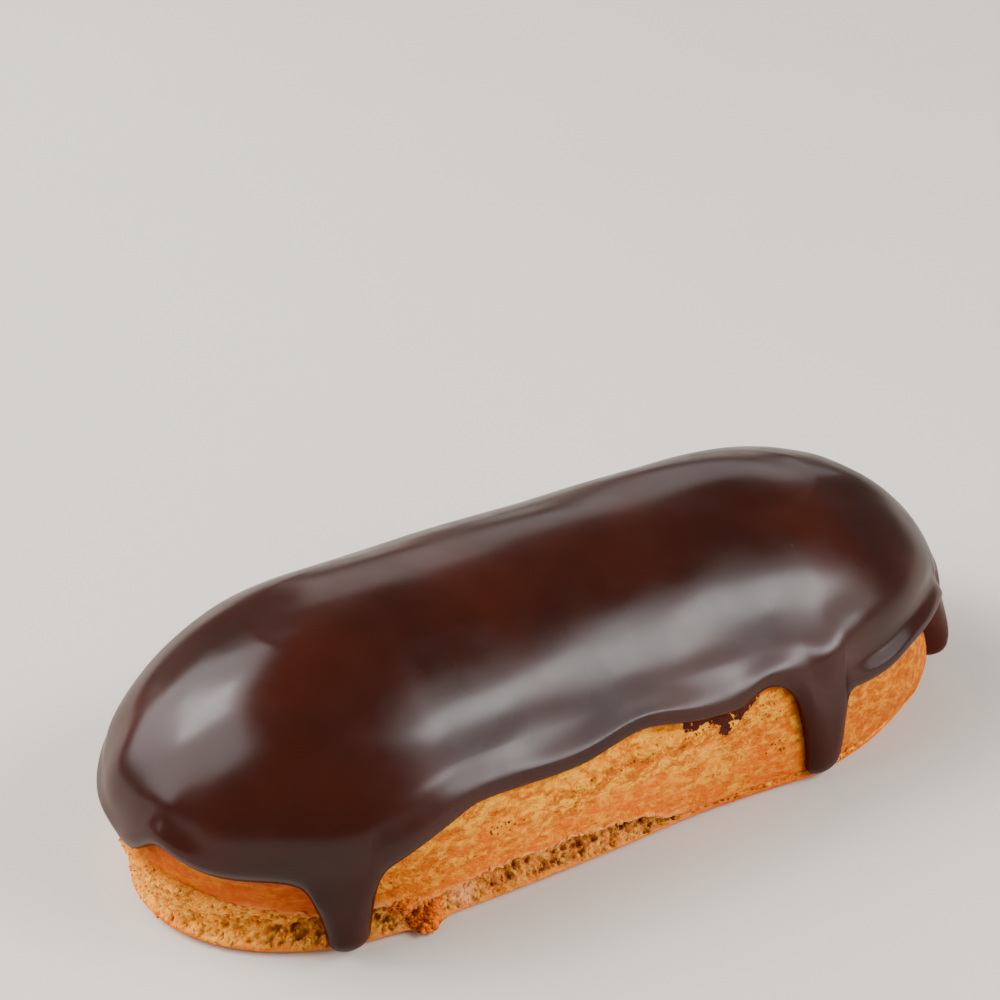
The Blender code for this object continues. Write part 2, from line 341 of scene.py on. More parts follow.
# How far the crust stands out at its lip, the crumb under it, and the base edge.
LIP_OUTWARD = Profile((
    (0, 0.7), (6, 0.6), (12, 0.3), (24, 0.5), (34, 0.3), (44, 1), (60, 1.5), (90, 1.7), (104, 2), (112, 2.7),
    (118, 2.9), (126, 2.6), (132, 2.5), (146, 3.1), (160, 2.4), (180, 1.4), (230, 1.4), (290, 1), (318, 0.2),
))  # fmt: skip
CRUMB_OUTWARD = Profile((
    (0, 1.3), (10, 1.5), (18, 1.1), (24, 0.3), (32, -0.7), (45, -0.9), (58, -1.2), (76, -1.1),
    (86, -0.6), (94, 0.2), (102, 0.9), (112, 1.2), (122, 1.5), (146, 2.1), (164, 1.6), (182, 0.2),
    (206, -0.8), (250, -1.1), (288, -0.9), (308, 0), (324, 1),
))  # fmt: skip
FOOT_OUTWARD = Profile((
    (0, 2.3), (12, 2.7), (22, 2.8), (34, 2.5), (46, 1.7), (54, 1.6), (64, 2), (80, 2.2), (96, 2), (106, 2.7),
    (115, 3.6), (123, 3.1), (132, 2.6), (140, 2.5), (165, 2.2), (190, 1.4), (230, 1), (290, 1), (316, 1.7),
))  # fmt: skip
# How far the side is burst: 0 is closed and even, 1 is open and ragged.
OPENNESS = Profile((
    (0, 0), (18, 0.15), (27, 0.5), (36, 0.8), (46, 1), (86, 1), (91, 0.7), (96, 0.25), (112, 0.1), (150, 0.1),
    (178, 0.4), (200, 1), (290, 1), (312, 0.4), (326, 0.1),
))  # fmt: skip
# How strongly the glaze swells along its rim.
RIM_BEAD = Profile((
    (0, 0.15), (5, 0.18), (8.5, 0.32), (11.5, 0.42), (15, 0.34), (20, 0.18), (40, 0.15), (90, 0.2),
    (112, 0.15), (119, 0.3), (125, 0.85), (136, 1), (147, 0.85), (160, 0.4), (200, 0.25), (260, 0.3),
    (300, 0.35), (326, 0.35),
))  # fmt: skip
# How smooth and brown the crust is, and how darkly it is baked.
SLEEKNESS = Profile((
    (0, 0.4), (4, 0.75), (12, 0.85), (28, 1), (35, 0.8), (41, 0), (60, 0), (200, 0), (300, 0), (326, 0.1),
))  # fmt: skip
TOASTING = Profile((
    (0, 0.3), (36, 0.7), (44, 0.7), (51, 0.45), (58, 0.2), (68, 0.05), (84, 0), (96, 0.1), (106, 0.25),
    (114, 0.4), (121, 0.6), (132, 0.75), (150, 0.75), (168, 0.6), (200, 0.4), (240, 0.25), (280, 0.4),
    (320, 0.3),
))  # fmt: skip


@dataclass(frozen=True)
class Drip:
    """A run of glaze down the side."""

    travel: float
    half_width: float
    tip_height: float
    thickness: float
    flare_before: float
    flare_after: float
    neck: float = 0.72


@dataclass(frozen=True)
class Bump:
    """A rounded rise or, with a negative outward, a rounded hollow."""

    travel: float
    rise: float
    travel_spread: float
    rise_spread: float
    outward: float

    def at(self, travel: np.ndarray, rise: np.ndarray) -> np.ndarray:
        """Step outward that the bump adds.

        Args:
            travel: Travel round the eclair.
            rise: Rise up the side.

        Returns:
            The step outward at each place.
        """
        half = FORM.round / 2
        along = (np.mod(travel - self.travel + half, FORM.round) - half) / self.travel_spread
        up = (rise - self.rise) / self.rise_spread
        return self.outward * np.exp(-along * along - up * up)


# Runs of glaze, clumps of torn crumb, the pale spot beside the largest clump, large holes in the
# crumb, and rows of pinpricks in the crust.
DRIPS = (
    Drip(37.8, 3.1, 0.7, 4.7, 1.3, 0.7),
    Drip(116.35, 2.9, 0.8, 4.6, 1.2, 0.45),
    Drip(152.4, 2.0, 2.1, 5.3, 0.9, 1.2, 0.45),
    Drip(212.0, 3.0, 5.4, 4.0, 1.3, 1.8),
    Drip(281.0, 3.4, 7.6, 4.0, 2.0, 1.4),
)
CRAGS = (
    Bump(49.2, 3.2, 2.4, 2.8, 2.4),
    Bump(44.8, 5.5, 1.7, 1.3, 1.0),
    Bump(241.0, 4.6, 2.2, 2.2, 1.3),
)
FAIR_SPOT = Bump(55.6, 2.6, 2.0, 1.8, 1.0)
HOLES = (
    Bump(30.2, 2.9, 1.2, 0.8, -0.7),
    Bump(33.3, 3.2, 0.7, 0.6, -0.5),
    Bump(25.4, 2.8, 0.8, 0.6, -0.5),
    Bump(22.6, 4.3, 0.9, 0.6, -0.5),
    Bump(266.0, 3.2, 1.2, 0.8, -1.0),
)
CRACKLES = (
    Bump(77.0, 15.4, 3.2, 0.8, 1.0),
    Bump(83.0, 16.2, 3.2, 0.9, 1.0),
    Bump(94.0, 16.4, 2.6, 0.9, 1.0),
    Bump(109.0, 8.6, 3.6, 1.1, 1.0),
    Bump(61.0, 13.5, 4.0, 1.2, 0.7),
    Bump(226.0, 14.0, 4.0, 1.0, 0.9),
    Bump(268.0, 12.5, 4.0, 1.1, 0.8),
)


@dataclass(frozen=True)
class CrustRelief:
    """How far the choux stands out beyond the smooth bun: base edge, crumb, lip and crust above it."""

    base_edge: float = 1.2
    base_chamfer: float = 1.0
    base_fillet: float = 2.4
    lump: float = 0.45
    lump_size: float = 3.2

    def at(self, travel: np.ndarray, rise: np.ndarray, lip: np.ndarray, lumps: np.ndarray) -> np.ndarray:
        """Step outward at each place.

        Args:
            travel: Travel round the eclair.
            rise: Rise up the side.
            lip: Height of the crust's torn lip at that travel.
            lumps: Uneven values from -1 to 1 for the crumb.

        Returns:
            The step outward beyond the smooth bun.
        """
        foot = FOOT_OUTWARD.at(travel)
        fillet = np.clip(1 - (rise - self.base_edge) / self.base_fillet, 0, 1) ** 2
        crumb = CRUMB_OUTWARD.at(travel) + self.lump * lumps
        crumb = crumb + (foot - crumb) * fillet
        under_glaze = np.maximum(GLAZE_EDGE.at(travel) - 1.5 - lip, 1)
        shell = LIP_OUTWARD.at(travel) * (1 - smooth((rise - lip) / under_glaze))
        base = foot - self.base_chamfer * np.clip(1 - rise / self.base_edge, 0, 1) ** 2
        outward = np.where(rise < lip, crumb, shell)
        outward = np.where(rise <= self.base_edge, base, outward)
        return outward + sum(step.at(travel, rise) for step in CRAGS + HOLES)


RELIEF = CrustRelief()


class NodeGraph:
    """Node tree with a short call for each kind of node that both rules and finishes use."""

    def __init__(self, tree: bpy.types.NodeTree) -> None:
        """Starts with a node tree."""
        self.tree = tree

    def node(self, kind: str, inputs: dict[int | str, object], **settings: object) -> bpy.types.Node:
        """Adds a node.

        Args:
            kind: The node's type.
            inputs: What each input, by name or place, is linked to or set to.
            **settings: The node's own settings.

        Returns:
            The node.
        """
        made = self.tree.nodes.new(kind)
        for setting, value in settings.items():
            setattr(made, setting, value)
        for key, value in inputs.items():
            self.set(made.inputs[key], value)
        return made

    def set(self, socket: bpy.types.NodeSocket, value: object) -> None:
        """Links a socket to another, or sets its number or colour.

        Args:
            socket: The input socket.
            value: Another socket, or the number, vector or colour to set.
        """
        if isinstance(value, bpy.types.NodeSocket):
            self.tree.links.new(value, socket)
        elif isinstance(value, tuple) and len(value) == 3 and socket.type == "RGBA":
            socket.default_value = (*value, 1)
        else:
            socket.default_value = value

    def math(self, operation: str, *terms: object) -> bpy.types.NodeSocket:
        """Sum, product or other operation of sockets and numbers."""
        return self.node("ShaderNodeMath", dict(enumerate(terms)), operation=operation).outputs[0]

    def times(self, *terms: object) -> bpy.types.NodeSocket:
        """Product of any number of terms.

        Args:
            *terms: Sockets and numbers.

        Returns:
            The product's socket.
        """
        product = terms[0]
        for term in terms[1:]:
            product = self.math("MULTIPLY", product, term)
        return product

    def ramp(
        self, value: object, low: object, high: object, least: float = 0, most: float = 1
    ) -> bpy.types.NodeSocket:
        """Value that goes from least to most, with no corners, as the given one goes from low to high.

        Args:
            value: The given value.
            low: Where the rise starts.
            high: Where it ends.
            least: Value before the rise.
            most: Value after it.

        Returns:
            The new value.
        """
        inputs = {"Value": value, "From Min": low, "From Max": high, "To Min": least, "To Max": most}
        made = self.node("ShaderNodeMapRange", inputs, interpolation_type="SMOOTHSTEP")
        return made.outputs["Result"]


class RuleTree(NodeGraph):
    """Geometry node tree with named inputs, which ends in Realize Instances and Set Material."""

    def __init__(self, name: str) -> None:
        """Starts the tree with its geometry in and out.

        Args:
            name: Name of the tree.
        """
        super().__init__(bpy.data.node_groups.new(name, "GeometryNodeTree"))
        for way in ("INPUT", "OUTPUT"):
            self.tree.interface.new_socket("Geometry", in_out=way, socket_type="NodeSocketGeometry")
        self.entry = self.tree.nodes.new("NodeGroupInput")
        self.place = self.node("GeometryNodeInputPosition", {}).outputs["Position"]
        self.identifiers: dict[str, str] = {}
        self.values: dict[str, object] = {}

    def size(self, name: str, value: float) -> bpy.types.NodeSocket:
        """Adds a named number to the tree's inputs and gives its socket."""
        return self._input(name, value, "NodeSocketFloat")

    def count(self, name: str, value: int) -> bpy.types.NodeSocket:
        """Adds a named whole number to the tree's inputs and gives its socket."""
        return self._input(name, value, "NodeSocketInt")

    def finish_with(self, name: str, material: bpy.types.Material) -> bpy.types.NodeSocket:
        """Adds a named material to the tree's inputs and gives its socket."""
        return self._input(name, material, "NodeSocketMaterial")

    def piece(self, name: str, value: bpy.types.Object) -> bpy.types.NodeSocket:
        """Adds a named object to the tree's inputs and gives its socket."""
        return self._input(name, value, "NodeSocketObject")

    def _input(self, name: str, value: object, kind: str) -> bpy.types.NodeSocket:
        """Adds an input and remembers its value.

        Args:
            name: Name of the input.
            value: What the input is set to.
            kind: The socket's type.

        Returns:
            The socket inside the tree.
        """
        socket = self.tree.interface.new_socket(name, in_out="INPUT", socket_type=kind)
        self.identifiers[name] = socket.identifier
        self.values[name] = value
        return self.entry.outputs[name]

    def scaled(self, vector: object, factor: object) -> bpy.types.NodeSocket:
        """Vector made longer by a factor."""
        made = self.node("ShaderNodeVectorMath", {0: vector, "Scale": factor}, operation="SCALE")
        return made.outputs[0]

    def drawn(self, size: object, stretch: tuple[float, float, float]) -> bpy.types.NodeSocket:
        """Position in units of a size, drawn out along each axis.

        Args:
            size: The unit.
            stretch: Factor for each axis.

        Returns:
            The position.
        """
        unit = self.scaled(self.place, self.math("DIVIDE", 1.0, size))
        made = self.node("ShaderNodeVectorMath", {0: unit, 1: stretch}, operation="MULTIPLY")
        return made.outputs[0]

    def waves(
        self, size: object, stretch: tuple[float, float, float], detail: float
    ) -> bpy.types.NodeSocket:
        """Uneven value from -1 to 1.

        Args:
            size: Distance over which it changes.
            stretch: Factor for each axis.
            detail: How many finer layers it has.

        Returns:
            The value.
        """
        inputs = {"Vector": self.drawn(size, stretch), "Scale": 1.0, "Detail": detail}
        made = self.node("ShaderNodeTexNoise", inputs)
        return self.math("MULTIPLY_ADD", made.outputs[0], 2.0, -1.0)

    def mark(self, name: str) -> bpy.types.NodeSocket:
        """Number stored on the mesh under this name."""
        made = self.node("GeometryNodeInputNamedAttribute", {"Name": name}, data_type="FLOAT")
        return made.outputs["Attribute"]

    def store(self, surface: object, name: str, value: object) -> bpy.types.NodeSocket:
        """Stores a number on a surface's points.

        Args:
            surface: The geometry.
            name: Name that the number is stored under.
            value: The number.

        Returns:
            The geometry with the number.
        """
        inputs = {"Geometry": surface, "Name": name, "Value": value}
        made = self.node("GeometryNodeStoreNamedAttribute", inputs, data_type="FLOAT", domain="POINT")
        return made.outputs["Geometry"]

    def push_out(self, surface: object, distance: object) -> bpy.types.NodeSocket:
        """Moves each point along its normal.

        Args:
            surface: The geometry.
            distance: How far each point goes.

        Returns:
            The moved geometry.
        """
        normal = self.node("GeometryNodeInputNormal", {}).outputs["Normal"]
        inputs = {"Geometry": surface, "Offset": self.scaled(normal, distance)}
        return self.node("GeometryNodeSetPosition", inputs).outputs["Geometry"]

    def close(self, surface: object, material: bpy.types.NodeSocket) -> None:
        """Ends the tree.

        Args:
            surface: The finished geometry.
            material: The material that it gets.
        """
        real = self.node("GeometryNodeRealizeInstances", {"Geometry": surface})
        inputs = {"Geometry": real.outputs["Geometry"], "Material": material}
        dressed = self.node("GeometryNodeSetMaterial", inputs)
        last = self.node("NodeGroupOutput", {})
        self.tree.links.new(dressed.outputs["Geometry"], last.inputs["Geometry"])

    def run_on(self, base: bpy.types.Object, name: str) -> bpy.types.Object:
        """Makes a plain mesh object of what the tree gives for a base object, which is removed.

        Args:
            base: Object whose mesh the tree starts from.
            name: Name of the new piece.

        Returns:
            The new piece, smooth shaded, with no modifiers.
        """
        modifier = base.modifiers.new("rule", "NODES")
        modifier.node_group = self.tree
        for label, identifier in self.identifiers.items():
            modifier[identifier] = self.values[label]
        graph = bpy.context.evaluated_depsgraph_get()
        graph.update()
        mesh = bpy.data.meshes.new_from_object(
            base.evaluated_get(graph), preserve_all_data_layers=True, depsgraph=graph
        )
        bpy.data.objects.remove(base)
        mesh.name = name
        mesh.shade_smooth()
        return new_object(name, mesh)


def new_object(name: str, mesh: bpy.types.ID) -> bpy.types.Object:
    """Adds an object at the origin.

    Args:
        name: Name of the object.
        mesh: Its mesh, light or camera.

    Returns:
        The object.
    """
    made = bpy.data.objects.new(name, mesh)
    bpy.context.scene.collection.objects.link(made)
    return made


def ring_faces(count: int, around: int) -> list[list[int]]:
    """Four-sided faces between the neighbours of a stack of closed rings.

    Args:
        count: How many rings there are.
        around: How many points each ring has.

    Returns:
        The places of each face's points.
    """
    place = np.arange(around)
    beside = (place + 1) % around
    low = np.arange(count - 1)[:, None] * around
    quads = np.stack([low + place, low + beside, low + around + beside, low + around + place], axis=-1)
    return quads.reshape(-1, 4).tolist()


def closed_mesh(
    name: str, points: np.ndarray, faces: list[list[int]], marks: dict[str, np.ndarray]
) -> bpy.types.Object:
    """Object with a closed surface.

    Args:
        name: Name of the object.
        points: Points in millimetres.
        faces: Places of each face's points; faces with many corners are divided.
        marks: Numbers to store on the points, in the same order.

    Returns:
        The object, its faces pointing out.
    """
    mesh = bpy.data.meshes.new(name)
    mesh.from_pydata((points.reshape(-1, 3) * MM).tolist(), [], faces)
    for label, values in marks.items():
        layer = mesh.attributes.new(label, "FLOAT", "POINT")
        layer.data.foreach_set("value", values.reshape(-1).astype(np.float32))
    work = bmesh.new()
    work.from_mesh(mesh)
    wide = [face for face in work.faces if len(face.verts) > 4]
    bmesh.ops.triangulate(work, faces=wide, ngon_method="BEAUTY")
    bmesh.ops.recalc_face_normals(work, faces=work.faces[:])
    work.to_mesh(mesh)
    work.free()
    mesh.shade_smooth()
    return new_object(name, mesh)


class Paint(NodeGraph):
    """Node graph of one material, with a short call for each kind of node in it."""

    def __init__(self, name: str) -> None:
        """Starts a material with its shader.

        Args:
            name: Name of the material.
        """
        self.material = bpy.data.materials.new(name)
        self.material.use_nodes = True
        super().__init__(self.material.node_tree)
        self.shader = self.tree.nodes["Principled BSDF"]
        self.place = self.node("ShaderNodeTexCoord", {}).outputs["Object"]

    def stretched(self, x: float, y: float, z: float) -> bpy.types.NodeSocket:
        """Object coordinates, drawn out along each axis by its number."""
        inputs = {"Vector": self.place, "Scale": (1 / x, 1 / y, 1 / z)}
        return self.node("ShaderNodeMapping", inputs).outputs["Vector"]

    def clouds(self, size: float, vector: object = None, **settings: float) -> bpy.types.NodeSocket:
        """Uneven value round a half.

        Args:
            size: Distance over which it changes, in millimetres.
            vector: Coordinates to use in place of the object's own.
            **settings: The noise's detail, roughness and distortion.

        Returns:
            The value.
        """
        inputs = {"Vector": vector or self.place, "Scale": 1 / (size * MM)}
        inputs |= {label.capitalize(): value for label, value in settings.items()}
        return self.node("ShaderNodeTexNoise", inputs).outputs["Fac"]

    def cells(self, size: float) -> bpy.types.NodeSocket:
        """Distance within cells of this many millimetres, in cell widths."""
        inputs = {"Vector": self.place, "Scale": 1 / (size * MM)}
        return self.node("ShaderNodeTexVoronoi", inputs).outputs["Distance"]

    def mark(self, name: str) -> bpy.types.NodeSocket:
        """Number stored on the mesh under this name."""
        return self.node("ShaderNodeAttribute", {}, attribute_name=name).outputs["Fac"]

    def mix(self, share: object, first: object, second: object) -> bpy.types.NodeSocket:
        """Colour between two others, by the share of the second that shows."""
        inputs = {0: share, 6: first, 7: second}
        return self.node("ShaderNodeMix", inputs, data_type="RGBA").outputs[2]

    def relief(self, height: object, depth: float, under: object = None) -> bpy.types.NodeSocket:
        """Normal of a fine relief.

        Args:
            height: How high each place stands, from 0 to 1.
            depth: Depth of the relief in millimetres.
            under: Normal of another relief that this one lies over.

        Returns:
            The normal.
        """
        inputs = {"Height": height, "Distance": depth * MM, "Strength": 1.0}
        if under is not None:
            inputs["Normal"] = under
        return self.node("ShaderNodeBump", inputs).outputs["Normal"]

    def finish(self, **inputs: object) -> bpy.types.Material:
        """Sets the shader's inputs.

        Args:
            **inputs: Sockets and values by input name, with underscores for blanks.

        Returns:
            The material.
        """
        for label, value in inputs.items():
            self.set(self.shader.inputs[label.replace("_", " ")], value)
        return self.material


@dataclass(frozen=True)
class ChouxFinish:
    """Baked choux: golden crust with veins, cracks and darker patches, and its paler, porous crumb."""

    pale: Colour = shade(254, 178, 34)
    golden: Colour = shade(238, 138, 12)
    tan: Colour = shade(208, 106, 8)
    toast: Colour = shade(174, 78, 4)
    orange: Colour = shade(226, 104, 0)
    amber: Colour = shade(164, 56, 0)
    brown: Colour = shade(86, 38, 8)
    lip: Colour = shade(254, 180, 98)
    crumb_open_shaded: Colour = shade(208, 116, 44)
    crumb_close: Colour = shade(254, 150, 16)
    crumb_pale: Colour = shade(255, 192, 74)
    fair: Colour = shade(248, 170, 104)
    pore_shade: Colour = shade(112, 44, 6)
    granule: Colour = shade(236, 116, 0)
    granule_shaded_brown: Colour = shade(168, 62, 0)
    base: Colour = shade(226, 136, 66)
    base_brown: Colour = shade(206, 96, 6)
    smear: Colour = shade(72, 22, 9)
    grain: tuple[float, float, float] = (1.4, 1.4, 0.85)
    patch_size: float = 5
    mottle_size: float = 1.4
    vein_size: float = 2.2
    streak_size: float = 3.2
    sheen_size: float = 5
    crack_size: float = 3.4
    cracked_patch_size: float = 7
    fleck_size: float = 0.55
    pinprick_size: float = 0.7
    crumb_mottle_size: float = 0.9
    granule_size: float = 1.1
    tear_size: float = 1.8
    fine_size: float = 0.35
    skin_size: float = 1.1
    fine_relief: float = 0.16
    skin_relief: float = 0.7
    crack_relief: float = 0.2
    smear_relief: float = 0.25

    def cracks(self, paint: Paint, along: bpy.types.NodeSocket) -> bpy.types.NodeSocket:
        """How strongly dark cracks and rows of pinpricks show.

        Args:
            paint: The material's graph.
            along: Object coordinates drawn out the way that the crust's grain runs.

        Returns:
            The strength, from 0 to 1.
        """
        bake = paint.mark("bake")
        crack = paint.clouds(self.crack_size, along, detail=4, roughness=0.7, distortion=1.4)
        thin = paint.ramp(paint.math("ABSOLUTE", paint.math("SUBTRACT", crack, 0.5)), 0.016, 0.006)
        fleck = paint.clouds(self.fleck_size, None, detail=1)
        broken = paint.ramp(fleck, 0.5, 0.56)
        where = paint.ramp(paint.clouds(self.cracked_patch_size, along, detail=1), 0.54, 0.62)
        high = paint.times(paint.ramp(bake, 0.28, 0.4), paint.ramp(bake, 1.0, 0.86))
        high = paint.times(high, paint.ramp(paint.mark("sleek"), 0.4, 0.1))
        cracks = paint.times(thin, broken, where, high)
        pricks = paint.ramp(paint.cells(self.pinprick_size), 0.36, 0.22)
        dots = paint.times(pricks, paint.ramp(fleck, 0.38, 0.46))
        rows = paint.times(dots, paint.ramp(paint.mark("crackle"), 0.2, 0.5))
        return paint.math("MAXIMUM", cracks, rows)

    def crust(self, paint: Paint) -> tuple[bpy.types.NodeSocket, bpy.types.NodeSocket]:
        """Colour of the browned crust.

        Args:
            paint: The material's graph.

        Returns:
            The colour, and how strongly dark cracks show.
        """
        along = paint.stretched(*self.grain)
        patches = paint.clouds(self.patch_size, along, detail=4, roughness=0.6)
        mottle = paint.clouds(self.mottle_size, along, detail=5, roughness=0.68, distortion=0.4)
        squiggle = paint.clouds(self.vein_size, along, detail=3, roughness=0.6, distortion=1.0)
        line = paint.math("ABSOLUTE", paint.math("SUBTRACT", squiggle, 0.5))
        colour = paint.mix(paint.ramp(patches, 0.38, 0.6), self.golden, self.tan)
        colour = paint.mix(paint.ramp(mottle, 0.5, 0.36, 0, 0.75), colour, self.toast)
        colour = paint.mix(paint.ramp(mottle, 0.46, 0.62, 0, 0.8), colour, self.pale)
        veins = paint.times(paint.ramp(line, 0.036, 0.006, 0, 0.8), paint.ramp(mottle, 0.4, 0.6, 0.25, 1))
        colour = paint.mix(veins, colour, self.pale)
        streaks = paint.clouds(self.streak_size, paint.stretched(3.2, 3.2, 0.8), detail=4, roughness=0.6)
        height = paint.math("ADD", paint.mark("bake"), paint.ramp(streaks, 0.3, 0.7, 0.28, -0.28))
        low = paint.times(paint.ramp(height, 0.15, 0.6, 0.85, 0), paint.ramp(mottle, 0.4, 0.65, 1, 0.5))
        colour = paint.mix(low, colour, self.orange)
        toasted = paint.times(paint.mark("toast"), paint.ramp(mottle, 0.35, 0.65, 1, 0.6))
        colour = paint.mix(toasted, colour, self.toast)
        sheen = paint.clouds(self.sheen_size, paint.stretched(2.5, 2.5, 0.6), detail=3, roughness=0.6)
        sleek = paint.times(paint.mark("sleek"), paint.ramp(sheen, 0.35, 0.65, 0.95, 0.6))
        colour = paint.mix(sleek, colour, self.amber)
        # Browner crust along the glaze's edge: partly glaze stain, partly painted shade under the glaze.
        colour = paint.mix(paint.times(paint.mark("edge"), 0.5), colour, self.amber)
        cracks = self.cracks(paint, along)
        return paint.mix(paint.times(cracks, 0.9), colour, self.brown), cracks

    def crumb(self, paint: Paint) -> bpy.types.NodeSocket:
        """Colour of the paler, porous crumb, with painted shade in its pores, in its larger holes and just
        under the lip.

        Args:
            paint: The material's graph.

        Returns:
            The colour.
        """
        opened = paint.mark("open")
        mottle = paint.clouds(self.crumb_mottle_size, None, detail=4, roughness=0.65)
        # Crumb where the side is burst open is darker and redder: partly its own colour, partly painted shade
        # from the drip and the lip above it.
        colour = paint.mix(opened, self.crumb_close, self.crumb_open_shaded)
        colour = paint.mix(paint.ramp(mottle, 0.42, 0.62, 0, 0.7), colour, self.crumb_pale)
        colour = paint.mix(paint.ramp(mottle, 0.48, 0.3, 0, 0.4), colour, self.tan)
        colour = paint.mix(paint.ramp(paint.mark("fair"), 0.2, 0.8, 0, 0.85), colour, self.fair)
        # Painted shade in the pores and the larger holes, less on the torn clumps.
        pit = paint.times(paint.mark("pit"), paint.ramp(opened, 0, 1, 0.75, 1))
        pit = paint.math("MAXIMUM", pit, paint.times(paint.mark("hole"), 0.45))
        pit = paint.times(pit, paint.ramp(paint.mark("crag"), 0.05, 0.4, 1, 0.2))
        # Painted shade just under the overhanging lip.
        shadow = paint.math("MAXIMUM", pit, paint.times(paint.mark("under_lip"), 0.5))
        return paint.mix(shadow, colour, self.pore_shade)

    def build(self) -> bpy.types.Material:
        """Builds the material, which reads the marks that the bun stores.

        Returns:
            The material.
        """
        paint = Paint("choux_crust")
        crust, cracks = self.crust(paint)
        colour = paint.mix(paint.mark("crumb"), crust, self.crumb(paint))
        opened = paint.mark("open")
        # Paler band along the torn lip: partly the torn edge's own colour, partly a painted highlight on it.
        colour = paint.mix(paint.times(paint.mark("lip"), opened, 0.75), colour, self.lip)
        edge = paint.mix(opened, self.base_brown, self.base)
        colour = paint.mix(paint.times(paint.mark("base"), 0.85), colour, edge)
        # Lighter and darker patches on the torn clumps: partly their own tone, partly painted highlights and
        # shade.
        torn = paint.clouds(self.granule_size, paint.stretched(0.8, 0.8, 1.4), detail=3, roughness=0.6)
        torn = paint.mix(paint.ramp(torn, 0.42, 0.58), self.granule_shaded_brown, self.granule)
        colour = paint.mix(paint.ramp(paint.mark("crag"), 0.08, 0.4, 0, 0.9), colour, torn)
        tear = paint.clouds(self.tear_size, None, detail=5, roughness=0.6)
        tear = paint.ramp(tear, 0.25, 0.75, -0.42, 0.42)
        smear = paint.ramp(paint.math("ADD", paint.mark("smear"), tear), 0.5, 0.54)
        colour = paint.mix(smear, colour, self.smear)
        fine = paint.clouds(self.fine_size, None, detail=4, roughness=0.7)
        across = paint.stretched(1.4, 1.4, 0.9)
        rough_skin = paint.clouds(self.skin_size, across, detail=4, roughness=0.6, distortion=0.8)
        matt = paint.math("SUBTRACT", 1, paint.times(paint.mark("sleek"), 0.8))
        normal = paint.relief(paint.times(fine, matt), self.fine_relief)
        normal = paint.relief(paint.times(rough_skin, matt), self.skin_relief, normal)
        normal = paint.relief(paint.math("SUBTRACT", 1, cracks), self.crack_relief, normal)
        normal = paint.relief(smear, self.smear_relief, normal)
        gloss = paint.math("ADD", paint.times(smear, 0.15), paint.times(paint.mark("sleek"), 0.25))
        rough = paint.math("SUBTRACT", paint.ramp(fine, 0.3, 0.7, 0.66, 0.84), gloss)
        return paint.finish(
            Base_Color=colour, Roughness=rough, Normal=normal, Specular_IOR_Level=0.1,
            Subsurface_Weight=0.1, Subsurface_Radius=(1.0, 0.45, 0.2), Subsurface_Scale=1.0 * MM,
        )  # fmt: skip


@dataclass(frozen=True)
class GlazeFinish:
    """Set chocolate glaze: dark and glossy, duller low down, a little lighter where it is thin."""

    deep: Colour = shade(35, 9, 3)
    warm: Colour = shade(51, 15, 5)
    thin: Colour = shade(73, 22, 7)
    cloud_size: float = 22
    haze_size: float = 6
    pinhole_spacing: float = 9
    pinhole_relief: float = 0.08
    gloss_facing: float = 0.275
    gloss_turned: float = 0.02
    dull_height: float = 3
    bright_height: float = 20
    dull_share: float = 0.45

    def build(self) -> bpy.types.Material:
        """Builds the material, which reads the mark thin.

        Returns:
            The material.
        """
        paint = Paint("chocolate_glaze")
        clouds = paint.clouds(self.cloud_size, None, detail=2, roughness=0.5)
        haze = paint.clouds(self.haze_size, None, detail=3, roughness=0.5)
        colour = paint.mix(paint.ramp(clouds, 0.3, 0.7), self.deep, self.warm)
        colour = paint.mix(paint.times(paint.mark("thin"), 0.5), colour, self.thin)
        pinholes = paint.ramp(paint.cells(self.pinhole_spacing), 0.022, 0.012)
        rough = paint.math("ADD", paint.ramp(haze, 0.3, 0.7, 0.2, 0.27), paint.times(pinholes, 0.2))
        normal = paint.relief(paint.math("SUBTRACT", 1, pinholes), self.pinhole_relief)
        facing = paint.node("ShaderNodeLayerWeight", {"Blend": 0.5}).outputs["Facing"]
        height = paint.node("ShaderNodeSeparateXYZ", {"Vector": paint.place}).outputs["Z"]
        low = paint.ramp(height, self.dull_height * MM, self.bright_height * MM, self.dull_share, 1)
        gloss = paint.times(paint.ramp(facing, 0.4, 0.9, self.gloss_facing, self.gloss_turned), low)
        return paint.finish(Base_Color=colour, Roughness=rough, Normal=normal, Specular_IOR_Level=gloss)


@dataclass(frozen=True)
class FloorFinish:
    """Plain pale table top."""

    light: Colour = (0.64, 0.59, 0.53)
    dark: Colour = (0.61, 0.56, 0.5)

    def build(self) -> bpy.types.Material:
        """Builds the material.

        Returns:
            The material.
        """
        paint = Paint("pale_floor")
        colour = paint.mix(paint.clouds(40, None, detail=2), self.light, self.dark)
        return paint.finish(Base_Color=colour, Roughness=0.7, Specular_IOR_Level=0.2)


